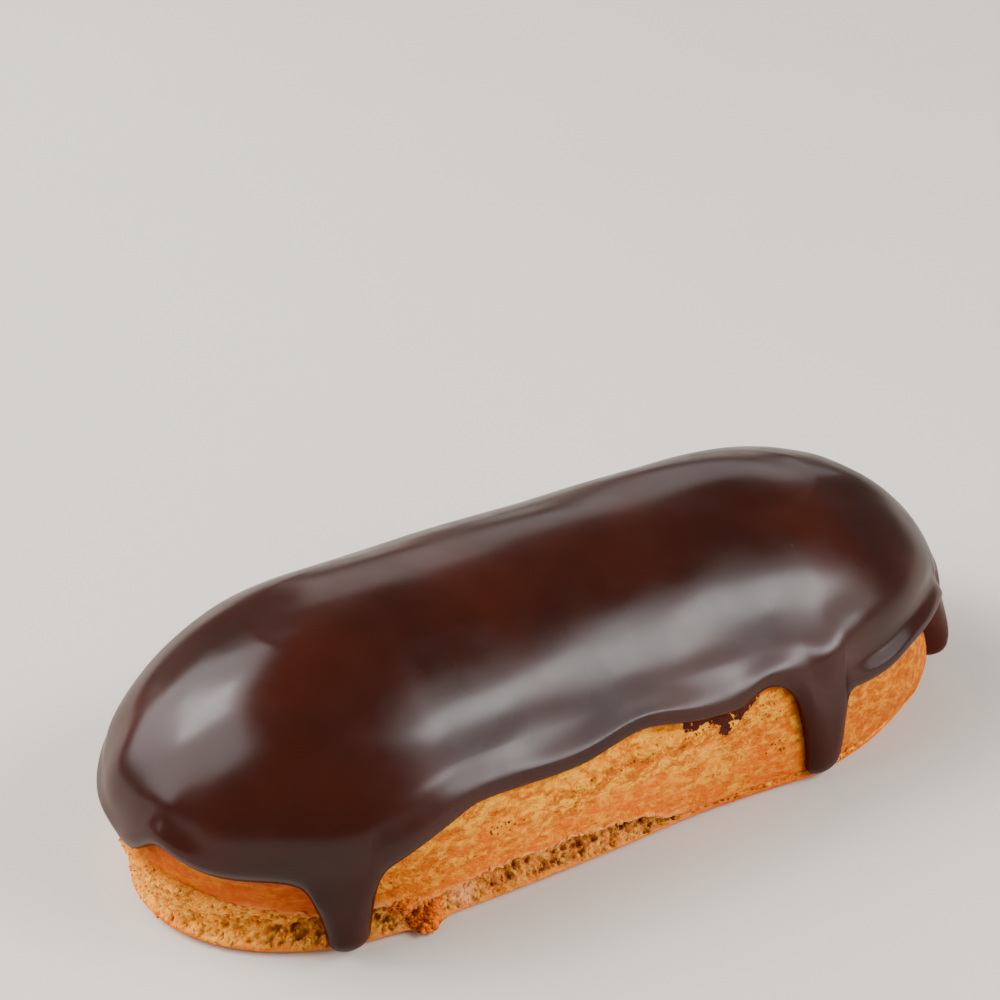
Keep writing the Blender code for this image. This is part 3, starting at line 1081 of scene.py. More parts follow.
@dataclass
class ChouxBun:
    """The bun: crust over a torn lip, the crumb band under it and the base edge."""

    coat: "GlazeCoat"
    columns: int = 1040
    base_rows: tuple[float, ...] = (0, 0.12, 0.3, 0.55, 0.85, 1.2)
    crumb_rows: int = 20
    lip_rows: tuple[float, ...] = (0.03, 0.12, 0.24, 0.4, 0.6, 0.85, 1.1, 1.4, 1.7, 2.05, 2.4)
    crust_rows: int = 38
    covered_rows: int = 9
    covered_height: float = 2.5
    crown_share: float = 0.985
    rag: float = 0.55
    rag_size: float = 3.6
    fine_rag: float = 0.7
    fine_rag_size: float = 1.3
    closed_rag: float = 0.35
    least_crumb: float = 0.25
    step_gap: float = 0.04
    tuck: float = 0.35
    tuck_height: float = 0.5
    ledges: tuple[float, ...] = (0.8, 1.9)
    ledge_depth: float = 0.28
    ledge_size: float = 6.0
    ledge_wander: float = 0.7
    ledge_blend: float = 0.25
    ledge_fade: float = 1.2
    border_rag: float = 0.35
    border_size: float = 1.6
    lip_middle: float = 0.1
    lip_half: float = 0.5
    torn_ends: tuple[float, float] = (44, 90)
    torn_end_spread: float = 3
    base_top: float = 1.4
    base_bare_at: float = 105
    base_bare_spread: float = 14
    smear_middle: float = 98.5
    smear_half: float = 8.0
    smear_blend: float = 2.0
    smear_depth: float = 3.2
    smear_lobe: float = 4.4
    smear_lobe_at: float = 99.0
    smear_lobe_spread: float = 2.0
    glaze_stain_and_shade_spread: float = 0.8
    calm: float = 0.75
    calm_spread: float = 7.0
    material: bpy.types.Material = field(default_factory=lambda: ChouxFinish().build())

    def lip(self, travel: np.ndarray) -> np.ndarray:
        """Height of the torn lip, ragged at two sizes.

        Args:
            travel: Travel round the bun.

        Returns:
            The height at each travel.
        """
        level = LIP_HEIGHT.at(travel)
        edge = FORM.points(travel, level, np.zeros_like(level))
        coarse = grain(edge, self.rag_size, Pattern.LIP)
        fine = grain(edge, self.fine_rag_size, Pattern.FINE_LIP)
        ragged = self.rag * (coarse + self.fine_rag * fine)
        share = self.closed_rag + (1 - self.closed_rag) * OPENNESS.at(travel)
        torn = level + ragged * share * self.unevenness(travel)
        return np.maximum(torn, RELIEF.base_edge + self.least_crumb)

    def unevenness(self, travel: np.ndarray) -> np.ndarray:
        """How rough the crumb and the lip are: less so at the tip of the taller end."""
        return 1 - self.calm * bell(np.minimum(travel, FORM.round - travel), self.calm_spread)

    def rises(self, travel: np.ndarray, lip: np.ndarray) -> np.ndarray:
        """Rises of every row, from the base to the crown.

        Args:
            travel: Travel round the bun.
            lip: Height of the torn lip at each travel.

        Returns:
            A row of rises for each row of points.
        """
        base = RELIEF.base_edge
        rows = [np.full_like(travel, z) for z in self.base_rows]
        top = FORM.rise_at(GLAZE_EDGE.at(travel) + self.covered_height)
        crown = self.crown_share * FORM.crown_rise
        start = lip + self.lip_rows[-1]

        def between(low: np.ndarray, high: np.ndarray, count: int) -> list[np.ndarray]:
            """Evenly spaced rows above the low one, up to the high one."""
            return [low + s * (high - low) for s in np.linspace(0, 1, count + 1)[1:]]

        rows += between(base, lip - self.step_gap, self.crumb_rows)
        rows += [lip + up for up in self.lip_rows]
        rows += between(start, top, self.crust_rows)
        rows += between(top, crown, self.covered_rows)
        return np.array(rows)

    def drawn_back(self, around: np.ndarray, torn: np.ndarray, over: np.ndarray) -> np.ndarray:
        """How far the crust draws back at its torn lip and at the ledges above it.

        Args:
            around: Travel of each column.
            torn: Height of the lip at each column.
            over: Rise above the lip of each row of points.

        Returns:
            The step inward at each point.
        """
        step = self.tuck * np.clip(1 - over / self.tuck_height, 0, 1) ** 2 * (over >= 0)
        edge = FORM.points(around, torn, np.zeros_like(around))
        for layer, start in enumerate(self.ledges):
            wander = grain(edge, self.ledge_size, Pattern.LEDGES + layer)
            past = over - start * (1 + self.ledge_wander * wander)
            ledge = smooth(past / self.ledge_blend) * np.exp(-np.clip(past, 0, None) / self.ledge_fade)
            broken = smooth(0.6 + 2.5 * np.roll(wander, 60))
            step = step + self.ledge_depth * ledge * OPENNESS.at(around) * broken
        return step

    def smear(self, travel: np.ndarray, rise: np.ndarray) -> np.ndarray:
        """Where glaze is smeared over the crust, just under the glaze's edge.

        Args:
            travel: Travel round the bun.
            rise: Rise up the side.

        Returns:
            How near each place is to the smear, from 0 to 1.
        """
        along = smooth((self.smear_half - np.abs(travel - self.smear_middle)) / self.smear_blend)
        lobe = self.smear_lobe * bell(travel - self.smear_lobe_at, self.smear_lobe_spread)
        under = FORM.rise_at(GLAZE_EDGE.at(travel)) - rise
        return along * np.clip(1 - under / (self.smear_depth + lobe), 0, 1)

    def marks(
        self, travel: np.ndarray, rise: np.ndarray, lip: np.ndarray, points: np.ndarray
    ) -> dict[str, np.ndarray]:
        """Numbers that the rule tree and the finish read.

        Args:
            travel: Travel of each point.
            rise: Its rise.
            lip: Height of the torn lip at its travel.
            points: Its place in space.

        Returns:
            The numbers by name.
        """
        over = rise - lip
        opened = OPENNESS.at(travel)
        above = over / np.maximum(GLAZE_EDGE.at(travel) - lip, 1)
        ragged = self.border_rag * grain(points, self.border_size, Pattern.BORDERS)
        crag = sum(crag.at(travel, rise) / crag.outward for crag in CRAGS)
        hole = sum(hole.at(travel, rise) / hole.outward for hole in HOLES)
        outline = self.coat.outline()
        gap = np.array([self.coat.edge_distance(*row, outline)[0] for row in zip(travel, rise)])
        torn_ends = sum(bell(travel - end, self.torn_end_spread) for end in self.torn_ends)
        bare = 0.5 * bell(travel - self.base_bare_at, self.base_bare_spread)
        at_lip = over - self.lip_middle
        above_crumb = over > -0.05
        under_lip = smooth((lip - rise) / 0.12 + 0.2)
        return {
            "crumb": under_lip * smooth((rise + ragged - RELIEF.base_edge) / 0.35),
            "lip": bell(at_lip, self.lip_half + 0.5 * torn_ends) * above_crumb,
            "flake": bell(at_lip, 0.4) * above_crumb * opened,
            # Painted shade on the crumb just under the lip.
            "under_lip": smooth(1 + over / 1.8) * (over < 0) * opened,
            "base": smooth((self.base_top + bare - rise - ragged) / 0.35),
            # Nearness to the glaze's edge, painted browner as stain and shade.
            "edge": bell(gap, self.glaze_stain_and_shade_spread),
            "bake": np.clip(above, 0, 1),
            "open": np.clip(opened, 0, 1),
            "sleek": SLEEKNESS.at(travel) * smooth(over / 0.5),
            "toast": TOASTING.at(travel),
            "rough": self.unevenness(travel) * (1 - 0.7 * FAIR_SPOT.at(travel, rise)),
            "fair": FAIR_SPOT.at(travel, rise),
            "crust": smooth(over / 0.4) * smooth(3 - above * 2.4),
            "crag": np.clip(crag, 0, 1),
            "clump": smooth(crag * 1.8 - 0.3) * smooth((rise - 0.5) / 0.8),
            # Larger holes, which the finish paints as shade.
            "hole": np.clip(hole, 0, 1),
            "crackle": np.clip(sum(chain.at(travel, rise) for chain in CRACKLES), 0, 1),
            "smear": self.smear(travel, rise),
        }

    def base_object(self) -> bpy.types.Object:
        """Smooth relief of the bun with the marks that the rule tree and the finish read.

        Returns:
            The object.
        """
        around = np.linspace(0, FORM.round, self.columns, endpoint=False)
        torn = self.lip(around)
        rise = self.rises(around, torn)
        travel = np.broadcast_to(around, rise.shape)
        lip = np.broadcast_to(torn, rise.shape)
        smooth_bun = FORM.points(travel, rise, np.zeros_like(rise))
        lumps = grain(smooth_bun, RELIEF.lump_size, Pattern.CRUMB_LUMPS)
        outward = RELIEF.at(travel, rise, lip, lumps) - self.drawn_back(around, torn, rise - lip)
        points = FORM.points(travel, rise, outward)
        last = (len(rise) - 1) * self.columns
        place = np.arange(self.columns)
        caps = [place[::-1].tolist(), (place + last).tolist()]
        faces = ring_faces(len(rise), self.columns) + caps
        return closed_mesh("choux_base", points, faces, self.marks(travel, rise, lip, points))

    def relief_tree(self) -> RuleTree:
        """Rule for the fine relief: pores in the crumb, wrinkles and lumps on the crust.

        Returns:
            The rule.
        """
        tree = RuleTree("choux_relief")
        pore_size = tree.size("Pore Size", 1.2 * MM)
        pore_depth = tree.size("Pore Depth", 0.65 * MM)
        fine_size = tree.size("Fine Pore Size", 0.8 * MM)
        fine_depth = tree.size("Fine Pore Depth", 0.38 * MM)
        warp = tree.size("Pore Unevenness", 0.7)
        wrinkle_size = tree.size("Wrinkle Size", 1.5 * MM)
        wrinkle_depth = tree.size("Wrinkle Depth", 0.48 * MM)
        lump_size = tree.size("Lump Size", 5.0 * MM)
        lump_height = tree.size("Lump Height", 0.3 * MM)
        smear_height = tree.size("Smear Height", 0.25 * MM)
        crag_size = tree.size("Crag Size", 1.5 * MM)
        crag_height = tree.size("Crag Height", 1.5 * MM)

        def pores(size: object, kept: float) -> bpy.types.NodeSocket:
            """Round pits in part of the cells, each as wide as its own draw says.

            Args:
                size: Width of the cells.
                kept: Share of the cells whose pits are more than the narrowest.

            Returns:
                How deep each place is in a pit, from 0 to 1.
            """
            even = tree.drawn(size, (1, 1, 1.15))
            drift = tree.node("ShaderNodeTexNoise", {"Vector": even, "Scale": 1.3, "Detail": 2.0})
            uneven = tree.scaled(drift.outputs["Color"], warp)
            bent = tree.node("ShaderNodeVectorMath", {0: even, 1: uneven}, operation="ADD")
            cells = tree.node("ShaderNodeTexVoronoi", {"Vector": bent.outputs[0], "Scale": 1.0})
            draw = tree.node("FunctionNodeSeparateColor", {"Color": cells.outputs["Color"]})
            radius = tree.math("MULTIPLY_ADD", tree.ramp(draw.outputs[0], 1 - kept, 1.0), 0.45, 0.25)
            edge = tree.times(radius, 0.4)
            return tree.ramp(cells.outputs["Distance"], radius, edge)

        crumb = tree.mark("crumb")
        coarse = pores(pore_size, 0.95)
        fine = pores(fine_size, 0.95)
        share = tree.node("ShaderNodeMapRange", {"Value": tree.mark("open"), "To Min": 0.6, "To Max": 1.0})
        deep = tree.times(coarse, share.outputs["Result"])
        pit = tree.times(tree.math("MAXIMUM", deep, tree.times(fine, 0.6)), crumb)
        sunk = tree.math("SUBTRACT", tree.times(deep, pore_depth, -1.0), tree.times(fine, fine_depth))
        sunk = tree.times(sunk, tree.times(crumb, tree.mark("rough")))
        wave = tree.math("ABSOLUTE", tree.waves(wrinkle_size, (0.4, 0.4, 1.0), 4.0))
        wrinkles = tree.times(wave, wrinkle_depth, -1.0)
        lumps = tree.times(tree.waves(lump_size, (0.6, 0.6, 1.0), 1.0), lump_height)
        skin = tree.times(tree.math("ADD", wrinkles, lumps), tree.mark("crust"))
        torn = tree.times(tree.waves(crag_size, (1.2, 1.2, 0.7), 3.0), crag_height, tree.mark("crag"))
        daub = tree.times(tree.mark("smear"), smear_height)
        total = tree.math("ADD", tree.math("ADD", sunk, skin), tree.math("ADD", torn, daub))
        height = tree.node("ShaderNodeSeparateXYZ", {"Vector": tree.place}).outputs["Z"]
        total = tree.times(total, tree.ramp(height, 0.0, 0.8 * MM))
        # Stores how deep each place lies in a pore, which the finish paints as shade.
        pitted = tree.store(tree.entry.outputs["Geometry"], "pit", pit)
        tree.close(tree.push_out(pitted, total), tree.finish_with("Choux", self.material))
        return tree

    def build(self) -> bpy.types.Object:
        """Makes the bun, dresses it and puts it in the place of its solid.

        Returns:
            The bun.
        """
        bun = self.relief_tree().run_on(self.base_object(), "bun_crust")
        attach(bun, ROOT_BODY)
        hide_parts(BUN_NODE)
        return bun


@dataclass
class GlazeCoat:
    """The glaze: an even coat with a rolled rim, drips, and the waves that it set with."""

    columns: int = 1100
    edge_points: int = 1600
    edge_samples: int = 9000
    edge_softness: float = 1.9
    steepest: float = 4.5
    rim_width: float = 2.8
    rim_share: float = 0.95
    narrowest_rim: float = 0.7
    rim_step: float = 0.1
    rim_window: int = 90
    rim_angles: tuple[float, ...] = (0, 8, 17, 26, 35, 45, 55, 65, 75, 85)
    undercut_angles: tuple[float, ...] = (-40, -24, -10)
    undercut: float = 1.4
    contact: float = 0.3
    side_rows: int = 22
    crown_rows: int = 15
    inner_rows: int = 4
    row_growth: float = 1.1
    belt_rise: float = 27.0
    dome_rise: float = 43.0
    dome_spacing: float = 0.5
    level_margin: float = 0.3
    level_blend: float = 1.2
    least: float = 1.3
    spanning: float = 1.6
    embedded: float = 0.9
    bead_height: float = 0.55
    bead_inset: float = 2.3
    bead_spread: float = 1.7
    groove_depth: float = 0.6
    groove_inset: float = 5.6
    groove_spread: float = 1.9
    bulges: tuple[Bump, ...] = (
        Bump(-3.0, 23, 6, 6, 0.7),
        Bump(-1.0, 14, 5, 4, -0.5),
        Bump(11.5, 21.4, 3.5, 2.6, 0.25),
        Bump(117.3, 22, 3.5, 5, 0.55),
        Bump(126.0, 21, 5, 3.5, -0.35),
    )
    material: bpy.types.Material = field(default_factory=lambda: GlazeFinish().build())

    def edge_height(self, travel: np.ndarray) -> np.ndarray:
        """Height of the lower edge, drips included.

        Args:
            travel: Travel round the glaze.

        Returns:
            The height at each travel.
        """
        level = GLAZE_EDGE.at(travel)
        for drip in DRIPS:
            across = np.abs(travel - drip.travel)
            inside = np.clip(drip.half_width**2 - across**2, 0, None)
            tip = drip.tip_height + drip.half_width - np.sqrt(inside)
            flare = np.where(travel < drip.travel, drip.flare_before, drip.flare_after)
            shoulder = np.maximum(level - drip.tip_height - drip.half_width, 0)
            beside = level - shoulder * np.exp(-np.maximum(across - drip.half_width, 0) / flare)
            level = np.where(across < drip.half_width, np.minimum(level, tip), beside)
        return level

    def outline(self) -> np.ndarray:
        """Lower edge as evenly spaced points.

        Returns:
            The travel and rise of each point.
        """
        travel = np.linspace(0, FORM.round, self.edge_samples, endpoint=False)
        edge = np.column_stack([travel, FORM.rise_at(self.edge_height(travel))])
        edge = np.vstack([edge, edge[0] + (FORM.round, 0)])
        run = np.concatenate([[0], np.cumsum(np.hypot(*np.diff(edge, axis=0).T))])
        count = self.edge_points
        place = np.linspace(0, run[-1], count, endpoint=False)
        even = np.column_stack([np.interp(place, run, edge[:, k]) for k in (0, 1)])
        drift = np.column_stack([np.arange(count) * FORM.round / count, np.zeros(count)])
        return ring_blur(even - drift, self.edge_softness) + drift

    def feet(self, outline: np.ndarray) -> tuple[np.ndarray, np.ndarray]:
        """Foot of each column on the edge, not bunched where the edge is steep.

        Args:
            outline: Points of the lower edge.

        Returns:
            The travel and the rise of each foot.
        """
        edge = np.vstack([outline, outline[0] + (FORM.round, 0)])
        ahead, up = np.abs(np.diff(edge, axis=0)).T
        run = np.concatenate([[0], np.cumsum(np.hypot(ahead, np.minimum(up, self.steepest * ahead)))])
        place = np.linspace(0, run[-1], self.columns, endpoint=False)
        drift = np.arange(self.columns) * FORM.round / self.columns
        travel = ring_blur(np.interp(place, run, edge[:, 0]) - drift, 2) + drift
        return travel, np.interp(travel, edge[:, 0], edge[:, 1], period=FORM.round)

    def inward(self, outline: np.ndarray) -> np.ndarray:
        """Direction from the edge into the glaze.

        Args:
            outline: Points of the lower edge.

        Returns:
            The direction at each point, one unit long.
        """
        ahead = np.roll(outline, -1, axis=0) - np.roll(outline, 1, axis=0)
        ahead[:, 0] = np.mod(ahead[:, 0] + FORM.round / 2, FORM.round) - FORM.round / 2
        turned = ring_blur(np.column_stack([-ahead[:, 1], ahead[:, 0]]), 1.2)
        return turned / np.linalg.norm(turned, axis=1, keepdims=True)

    def reach(self, outline: np.ndarray, inward: np.ndarray) -> np.ndarray:
        """How far in from the edge the rim can go before it meets the rim of a drip's other side.

        Args:
            outline: Points of the lower edge.
            inward: Direction into the glaze at each of them.

        Returns:
            The distance at each point.
        """
        window = np.arange(-self.rim_window, self.rim_window + 1)
        index = (np.arange(len(outline))[:, None] + window) % len(outline)
        near = outline[index].copy()
        gap = near[..., 0] - outline[:, None, 0]
        near[..., 0] = outline[:, None, 0] + np.mod(gap + FORM.round / 2, FORM.round) - FORM.round / 2
        best = np.full(len(outline), self.narrowest_rim)
        for step in np.arange(0.8, self.rim_width + 0.05, self.rim_step):
            tip = outline + inward * step
            clear = np.hypot(*(near - tip[:, None]).transpose(2, 0, 1)).min(axis=1)
            best = np.where(clear > 0.93 * step, np.maximum(best, step), best)
        least = np.min([np.roll(best, k) for k in range(-4, 5)], axis=0)
        return ring_blur(least, 3)

    def edge_distance(
        self, travel: np.ndarray, rise: np.ndarray, outline: np.ndarray
    ) -> tuple[np.ndarray, np.ndarray]:
        """Distance of each point from the edge.

        Args:
            travel: Travel of each point.
            rise: Its rise.
            outline: Points of the lower edge.

        Returns:
            The distance, and the number of the edge's nearest point.
        """
        half = FORM.round / 2
        along = np.mod(travel[:, None] - outline[:, 0] + half, FORM.round) - half
        up = rise[:, None] - outline[:, 1]
        nearest = (along * along + up * up).argmin(axis=1)
        point = np.arange(len(travel))
        away = np.column_stack([along[point, nearest], up[point, nearest]])
        gap = np.full(len(travel), np.inf)
        for beside in (-1, 1):
            other = (nearest + beside) % len(outline)
            run = away - np.column_stack([along[point, other], up[point, other]])
            share = np.clip((away * run).sum(axis=1) / (run * run).sum(axis=1), 0, 1)
            gap = np.minimum(gap, np.hypot(*(away - share[:, None] * run).T))
        return gap, nearest

    def backing(self, travel: np.ndarray, rise: np.ndarray) -> np.ndarray:
        """Smooth surface that the glaze lies on, which spans the hollows of the crust.

        Args:
            travel: Travel round the glaze.
            rise: Rise up the side.

        Returns:
            The step outward of that surface beyond the smooth bun.
        """
        total, weights = 0, 0
        for along in (-1.5, 0, 1.5):
            for up in np.linspace(-3.2, 3.2, 9):
                beside = travel + along
                found = RELIEF.at(beside, np.maximum(rise + up, 0), LIP_HEIGHT.at(beside), 0)
                weight = math.exp(-((along / 2) ** 2) - (up / 2) ** 2)
                total = total + weight * np.exp(self.spanning * found)
                weights += weight
        return np.log(total / weights) / self.spanning

    def depth(self, travel: np.ndarray, rise: np.ndarray, backing: np.ndarray) -> np.ndarray:
        """Depth of the glaze over what it lies on, away from its rim.

        Args:
            travel: Travel round the glaze.
            rise: Rise up the side.
            backing: Step outward of the surface that it lies on.

        Returns:
            The depth at each place.
        """
        level = FORM.rise_at(GLAZE_EDGE.at(travel))
        depth = FORM.glaze_thickness - np.clip(backing, 0, None)
        for drip in DRIPS:
            across = np.abs(travel - drip.travel) / drip.half_width
            below = smooth((level - rise) / 5 + 0.4) * smooth(2.4 - 1.2 * across)
            swell = drip.neck + (1 - drip.neck) * smooth((level - rise) / (level - drip.tip_height))
            run = np.maximum(drip.thickness * swell - backing, self.least)
            depth = depth + (run - depth) * below
        depth = depth + sum(bulge.at(travel, rise) for bulge in self.bulges)
        return np.maximum(depth, self.least)

    def base_object(self) -> bpy.types.Object:
        """Smooth coat with the marks that the rule tree and the finish read.

        Returns:
            The object.
        """
        outline = self.outline()
        inward = self.inward(outline)
        rim = np.minimum(self.reach(outline, inward) / self.rim_share, self.rim_width)
        edge_travel, edge_rise = self.feet(outline)
        lean = [np.interp(edge_travel, outline[:, 0], inward[:, k], period=FORM.round) for k in (0, 1)]
        drift = np.arange(self.columns) * FORM.round / self.columns
        spread_out = ring_blur(edge_travel - drift, 30) + drift
        rings, frees, thins = [], [], []

        def outer(travel: np.ndarray, rise: np.ndarray) -> None:
            """Adds one ring of the outer face, rounded down towards the edge.

            Args:
                travel: Travel of the ring's points.
                rise: Their rise.
            """
            gap, nearest = self.edge_distance(travel, rise, outline)
            share = np.clip(gap / rim[nearest], 0, 1)
            rolled = np.sqrt(1 - (1 - share) ** 2)
            backing = self.backing(travel, rise)
            depth = self.depth(travel, rise, backing)
            soft = ring_blur(gap, 8)
            swell = self.bead_height * bell(soft - self.bead_inset, self.bead_spread)
            groove = self.groove_depth * bell(soft - self.groove_inset, self.groove_spread)
            bead = RIM_BEAD.at(travel) * (swell - groove)
            middle = self.contact * depth
            rings.append(FORM.points(travel, rise, backing + middle + (depth - middle + bead) * rolled))
            frees.append(smooth(rolled))
            thins.append(1 - rolled)

        def inner(travel: np.ndarray, rise: np.ndarray, lifted: float = 0) -> None:
            """Adds one ring of the inner face.

            Args:
                travel: Travel of the ring's points.
                rise: Their rise.
                lifted: Share of the way out to the edge's own ring.
            """
            bare = RELIEF.at(travel, rise, LIP_HEIGHT.at(travel), 0) - self.embedded
            backing = self.backing(travel, rise)
            contact = backing + self.contact * self.depth(travel, rise, backing)
            rings.append(FORM.points(travel, rise, bare + lifted * (contact - bare)))
            frees.append(np.zeros_like(travel))
            thins.append(np.ones_like(travel))

        def climb(start: np.ndarray, rows: int, top_rows: int) -> list[tuple[np.ndarray, np.ndarray]]:
            """Rings from a start up to the dome.

            Args:
                start: Rise of the ring before the first.
                rows: How many rings there are up to the belt.
                top_rows: How many there are from the belt to the dome.

            Returns:
                The travel and rise of each ring.
            """
            room = self.belt_rise - start
            made = [(edge_travel, start + s**self.row_growth * room) for s in share_steps(rows)]
            for share in share_steps(top_rows):
                rise = np.full_like(start, self.belt_rise + share * (self.dome_rise - self.belt_rise))
                made.append((edge_travel + share * (spread_out - edge_travel), rise))
            return made

        for travel, rise in climb(edge_rise + self.rim_width / 2, self.inner_rows, self.inner_rows)[::-1]:
            inner(travel, rise)
        deepest = math.sin(math.radians(self.undercut_angles[0]))
        for angle in np.radians(self.undercut_angles):
            step = self.undercut * (1 - math.cos(angle))
            inner(edge_travel + step * lean[0], edge_rise + step * lean[1], 1 - math.sin(angle) / deepest)
        rim_rises = [edge_rise + self.rim_width * (1 - math.cos(a)) for a in np.radians(self.rim_angles)]
        for rise in rim_rises:
            outer(edge_travel, rise)
        for travel, rise in climb(rim_rises[-1], self.side_rows, self.crown_rows):
            outer(travel, rise)
        return self.closed(np.array(rings), np.array(frees), np.array(thins))

    def closed(self, rings: np.ndarray, free: np.ndarray, thin: np.ndarray) -> bpy.types.Object:
        """Joins the rings, and closes them with a dome inside and a dome outside.

        Args:
            rings: Points of all the rings, from the inner face's top to the outer face's top.
            free: How freely each point moved as the glaze set.
            thin: How thin the glaze is there.

        Returns:
            The closed coat.
        """
        count, around = rings.shape[:2]
        faces = ring_faces(count, around)
        points = [rings.reshape(-1, 3)]
        caps = (
            (0, self.dome_spacing * 4, -self.embedded, 0.0),
            (count - 1, self.dome_spacing, FORM.glaze_thickness, 1.0),
        )
        total = count * around
        marks = {"free": [free.ravel()], "thin": [thin.ravel()]}
        for row, spacing, outward, moved in caps:
            inside, triangles = FORM.dome(rings[row], spacing, outward)
            for triangle in triangles:
                faces.append([row * around + k if k < around else total + k - around for k in triangle])
            points.append(inside)
            marks["free"].append(np.full(len(inside), moved))
            marks["thin"].append(np.zeros(len(inside)))
            total += len(inside)
        points = np.vstack(points)
        marks = {label: np.concatenate(values) for label, values in marks.items()}
        border = FORM.section(np.array([self.dome_rise]), np.zeros(1))[1][0]
        crest = points[:, 2] / (1 - FORM.ridge_fall * points[:, 0] / (FORM.length / 2))
        within = smooth((crest - border - self.level_margin) / self.level_blend)
        marks["level"] = within * (marks["free"] >= 0.999)
        return closed_mesh("glaze_base", points, faces, marks)

    def flow_tree(self) -> RuleTree:
        """Rule for how the glaze set: levelled on top, with long low waves.

        Returns:
            The rule.
        """
        tree = RuleTree("glaze_flow")
        steps = tree.count("Levelling Steps", 60)
        wave_size = tree.size("Wave Size", 13 * MM)
        wave_height = tree.size("Wave Height", 0.6 * MM)
        ripple_size = tree.size("Ripple Size", 6.0 * MM)
        ripple_height = tree.size("Ripple Height", 0.14 * MM)
        inputs = {"Value": tree.place, "Iterations": steps, "Weight": tree.mark("level")}
        level = tree.node("GeometryNodeBlurAttribute", inputs, data_type="FLOAT_VECTOR").outputs["Value"]
        inputs = {"Geometry": tree.entry.outputs["Geometry"], "Position": level}
        settled = tree.node("GeometryNodeSetPosition", inputs).outputs["Geometry"]

        stretch = (0.5, 1.0, 1.0)
        waves = tree.times(tree.waves(wave_size, stretch, 0.0), wave_height)
        ripples = tree.times(tree.waves(ripple_size, stretch, 0.0), ripple_height)
        total = tree.math("ADD", waves, ripples)
        moved = tree.push_out(settled, tree.times(total, tree.mark("free")))
        tree.close(moved, tree.finish_with("Glaze", self.material))
        return tree

    def build(self) -> bpy.types.Object:
        """Makes the glaze, dresses it and puts it in the place of its solid.

        Returns:
            The glaze.
        """
        coat = self.flow_tree().run_on(self.base_object(), "glaze_coat")
        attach(coat, ROOT_BODY)
        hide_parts(GLAZE_NODE)
        return coat


@dataclass
class LooseCrumbs:
    """Grains of crumb and thin flakes of crust that cling to the torn lip and the crumb band."""

    kind: Scatter
    size: float
    least: float
    spread: float
    density: float
    flat: float
    seed: int
    where: str
    material: bpy.types.Material
    tint: str = ""
    unevenness: float = 0.75
    fineness: float = 3200
    narrow: float = 0.8
    full_turn: float = 6.28
    clearance: float = 0.05

    def shape(self) -> bpy.types.Object:
        """Makes one uneven grain or flake, one millimetre across.

        Returns:
            The object.
        """
        work = bmesh.new()
        bmesh.ops.create_icosphere(work, subdivisions=1, radius=0.5 * MM)
        for vert in work.verts:
            place = vert.co * self.fineness + Vector((self.seed, 0, 0))
            uneven = 1 + self.unevenness * noise.noise(place)
            x, y, z = (c * uneven for c in vert.co)
            vert.co = (x, y * self.narrow, z * self.flat)
        mesh = bpy.data.meshes.new(f"{self.kind.value}_shape")
        work.to_mesh(mesh)
        work.free()
        return new_object(f"{self.kind.value}_shape", mesh)

    def tree(self, shape: bpy.types.Object) -> RuleTree:
        """Rule that scatters the shape over the bun.

        Args:
            shape: One grain or flake.

        Returns:
            The rule.
        """
        tree = RuleTree(self.kind.value)
        size = tree.size("Size", self.size)
        least = tree.size("Least Share", self.least)
        density = tree.size("Density", self.density)
        tilt = tree.size("Tilt", self.spread)
        model = tree.node("GeometryNodeObjectInfo", {"Object": tree.piece("Shape", shape)})
        inputs = {
            "Mesh": tree.entry.outputs["Geometry"],
            "Density": tree.times(density, tree.mark(self.where)),
            "Seed": self.seed,
        }
        spots = tree.node("GeometryNodeDistributePointsOnFaces", inputs, distribute_method="RANDOM")
        low = tree.node("ShaderNodeCombineXYZ", {k: tree.times(tilt, -1.0) for k in (0, 1)})
        high = tree.node("ShaderNodeCombineXYZ", {0: tilt, 1: tilt, 2: self.full_turn})
        inputs = {"Min": low.outputs[0], "Max": high.outputs[0], "Seed": self.seed + 1}
        turn = tree.node("FunctionNodeRandomValue", inputs, data_type="FLOAT_VECTOR")
        inputs = {"Rotation": spots.outputs["Rotation"], "Rotate By": turn.outputs["Value"]}
        turned = tree.node("FunctionNodeRotateRotation", inputs, rotation_space="LOCAL")
        inputs = {2: least, 3: 1.0, "Seed": self.seed + 2}
        draw = tree.node("FunctionNodeRandomValue", inputs, data_type="FLOAT")
        inputs = {
            "Points": spots.outputs["Points"],
            "Instance": model.outputs["Geometry"],
            "Rotation": turned.outputs["Rotation"],
            "Scale": tree.times(draw.outputs[1], size),
        }
        placed = tree.node("GeometryNodeInstanceOnPoints", inputs).outputs["Instances"]
        loose = tree.node("GeometryNodeRealizeInstances", {"Geometry": placed}).outputs["Geometry"]
        inputs = {0: tree.place, 1: (-1.0, -1.0, self.clearance * MM)}
        above = tree.node("ShaderNodeVectorMath", inputs, operation="MAXIMUM")
        inputs = {"Geometry": loose, "Position": above.outputs[0]}
        resting = tree.node("GeometryNodeSetPosition", inputs).outputs["Geometry"]
        if self.tint:
            resting = tree.store(resting, self.tint, 1.0)
        tree.close(resting, tree.finish_with("Choux", self.material))
        return tree

    def build(self, bun: bpy.types.Object) -> bpy.types.Object:
        """Scatters the shape over the bun.

        Args:
            bun: The finished bun.

        Returns:
            One piece that holds all the grains or flakes.
        """
        shape = self.shape()
        ground = new_object("ground", bun.data.copy())
        piece = self.tree(shape).run_on(ground, self.kind.value)
        bpy.data.objects.remove(shape)
        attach(piece, ROOT_BODY)
        return piece


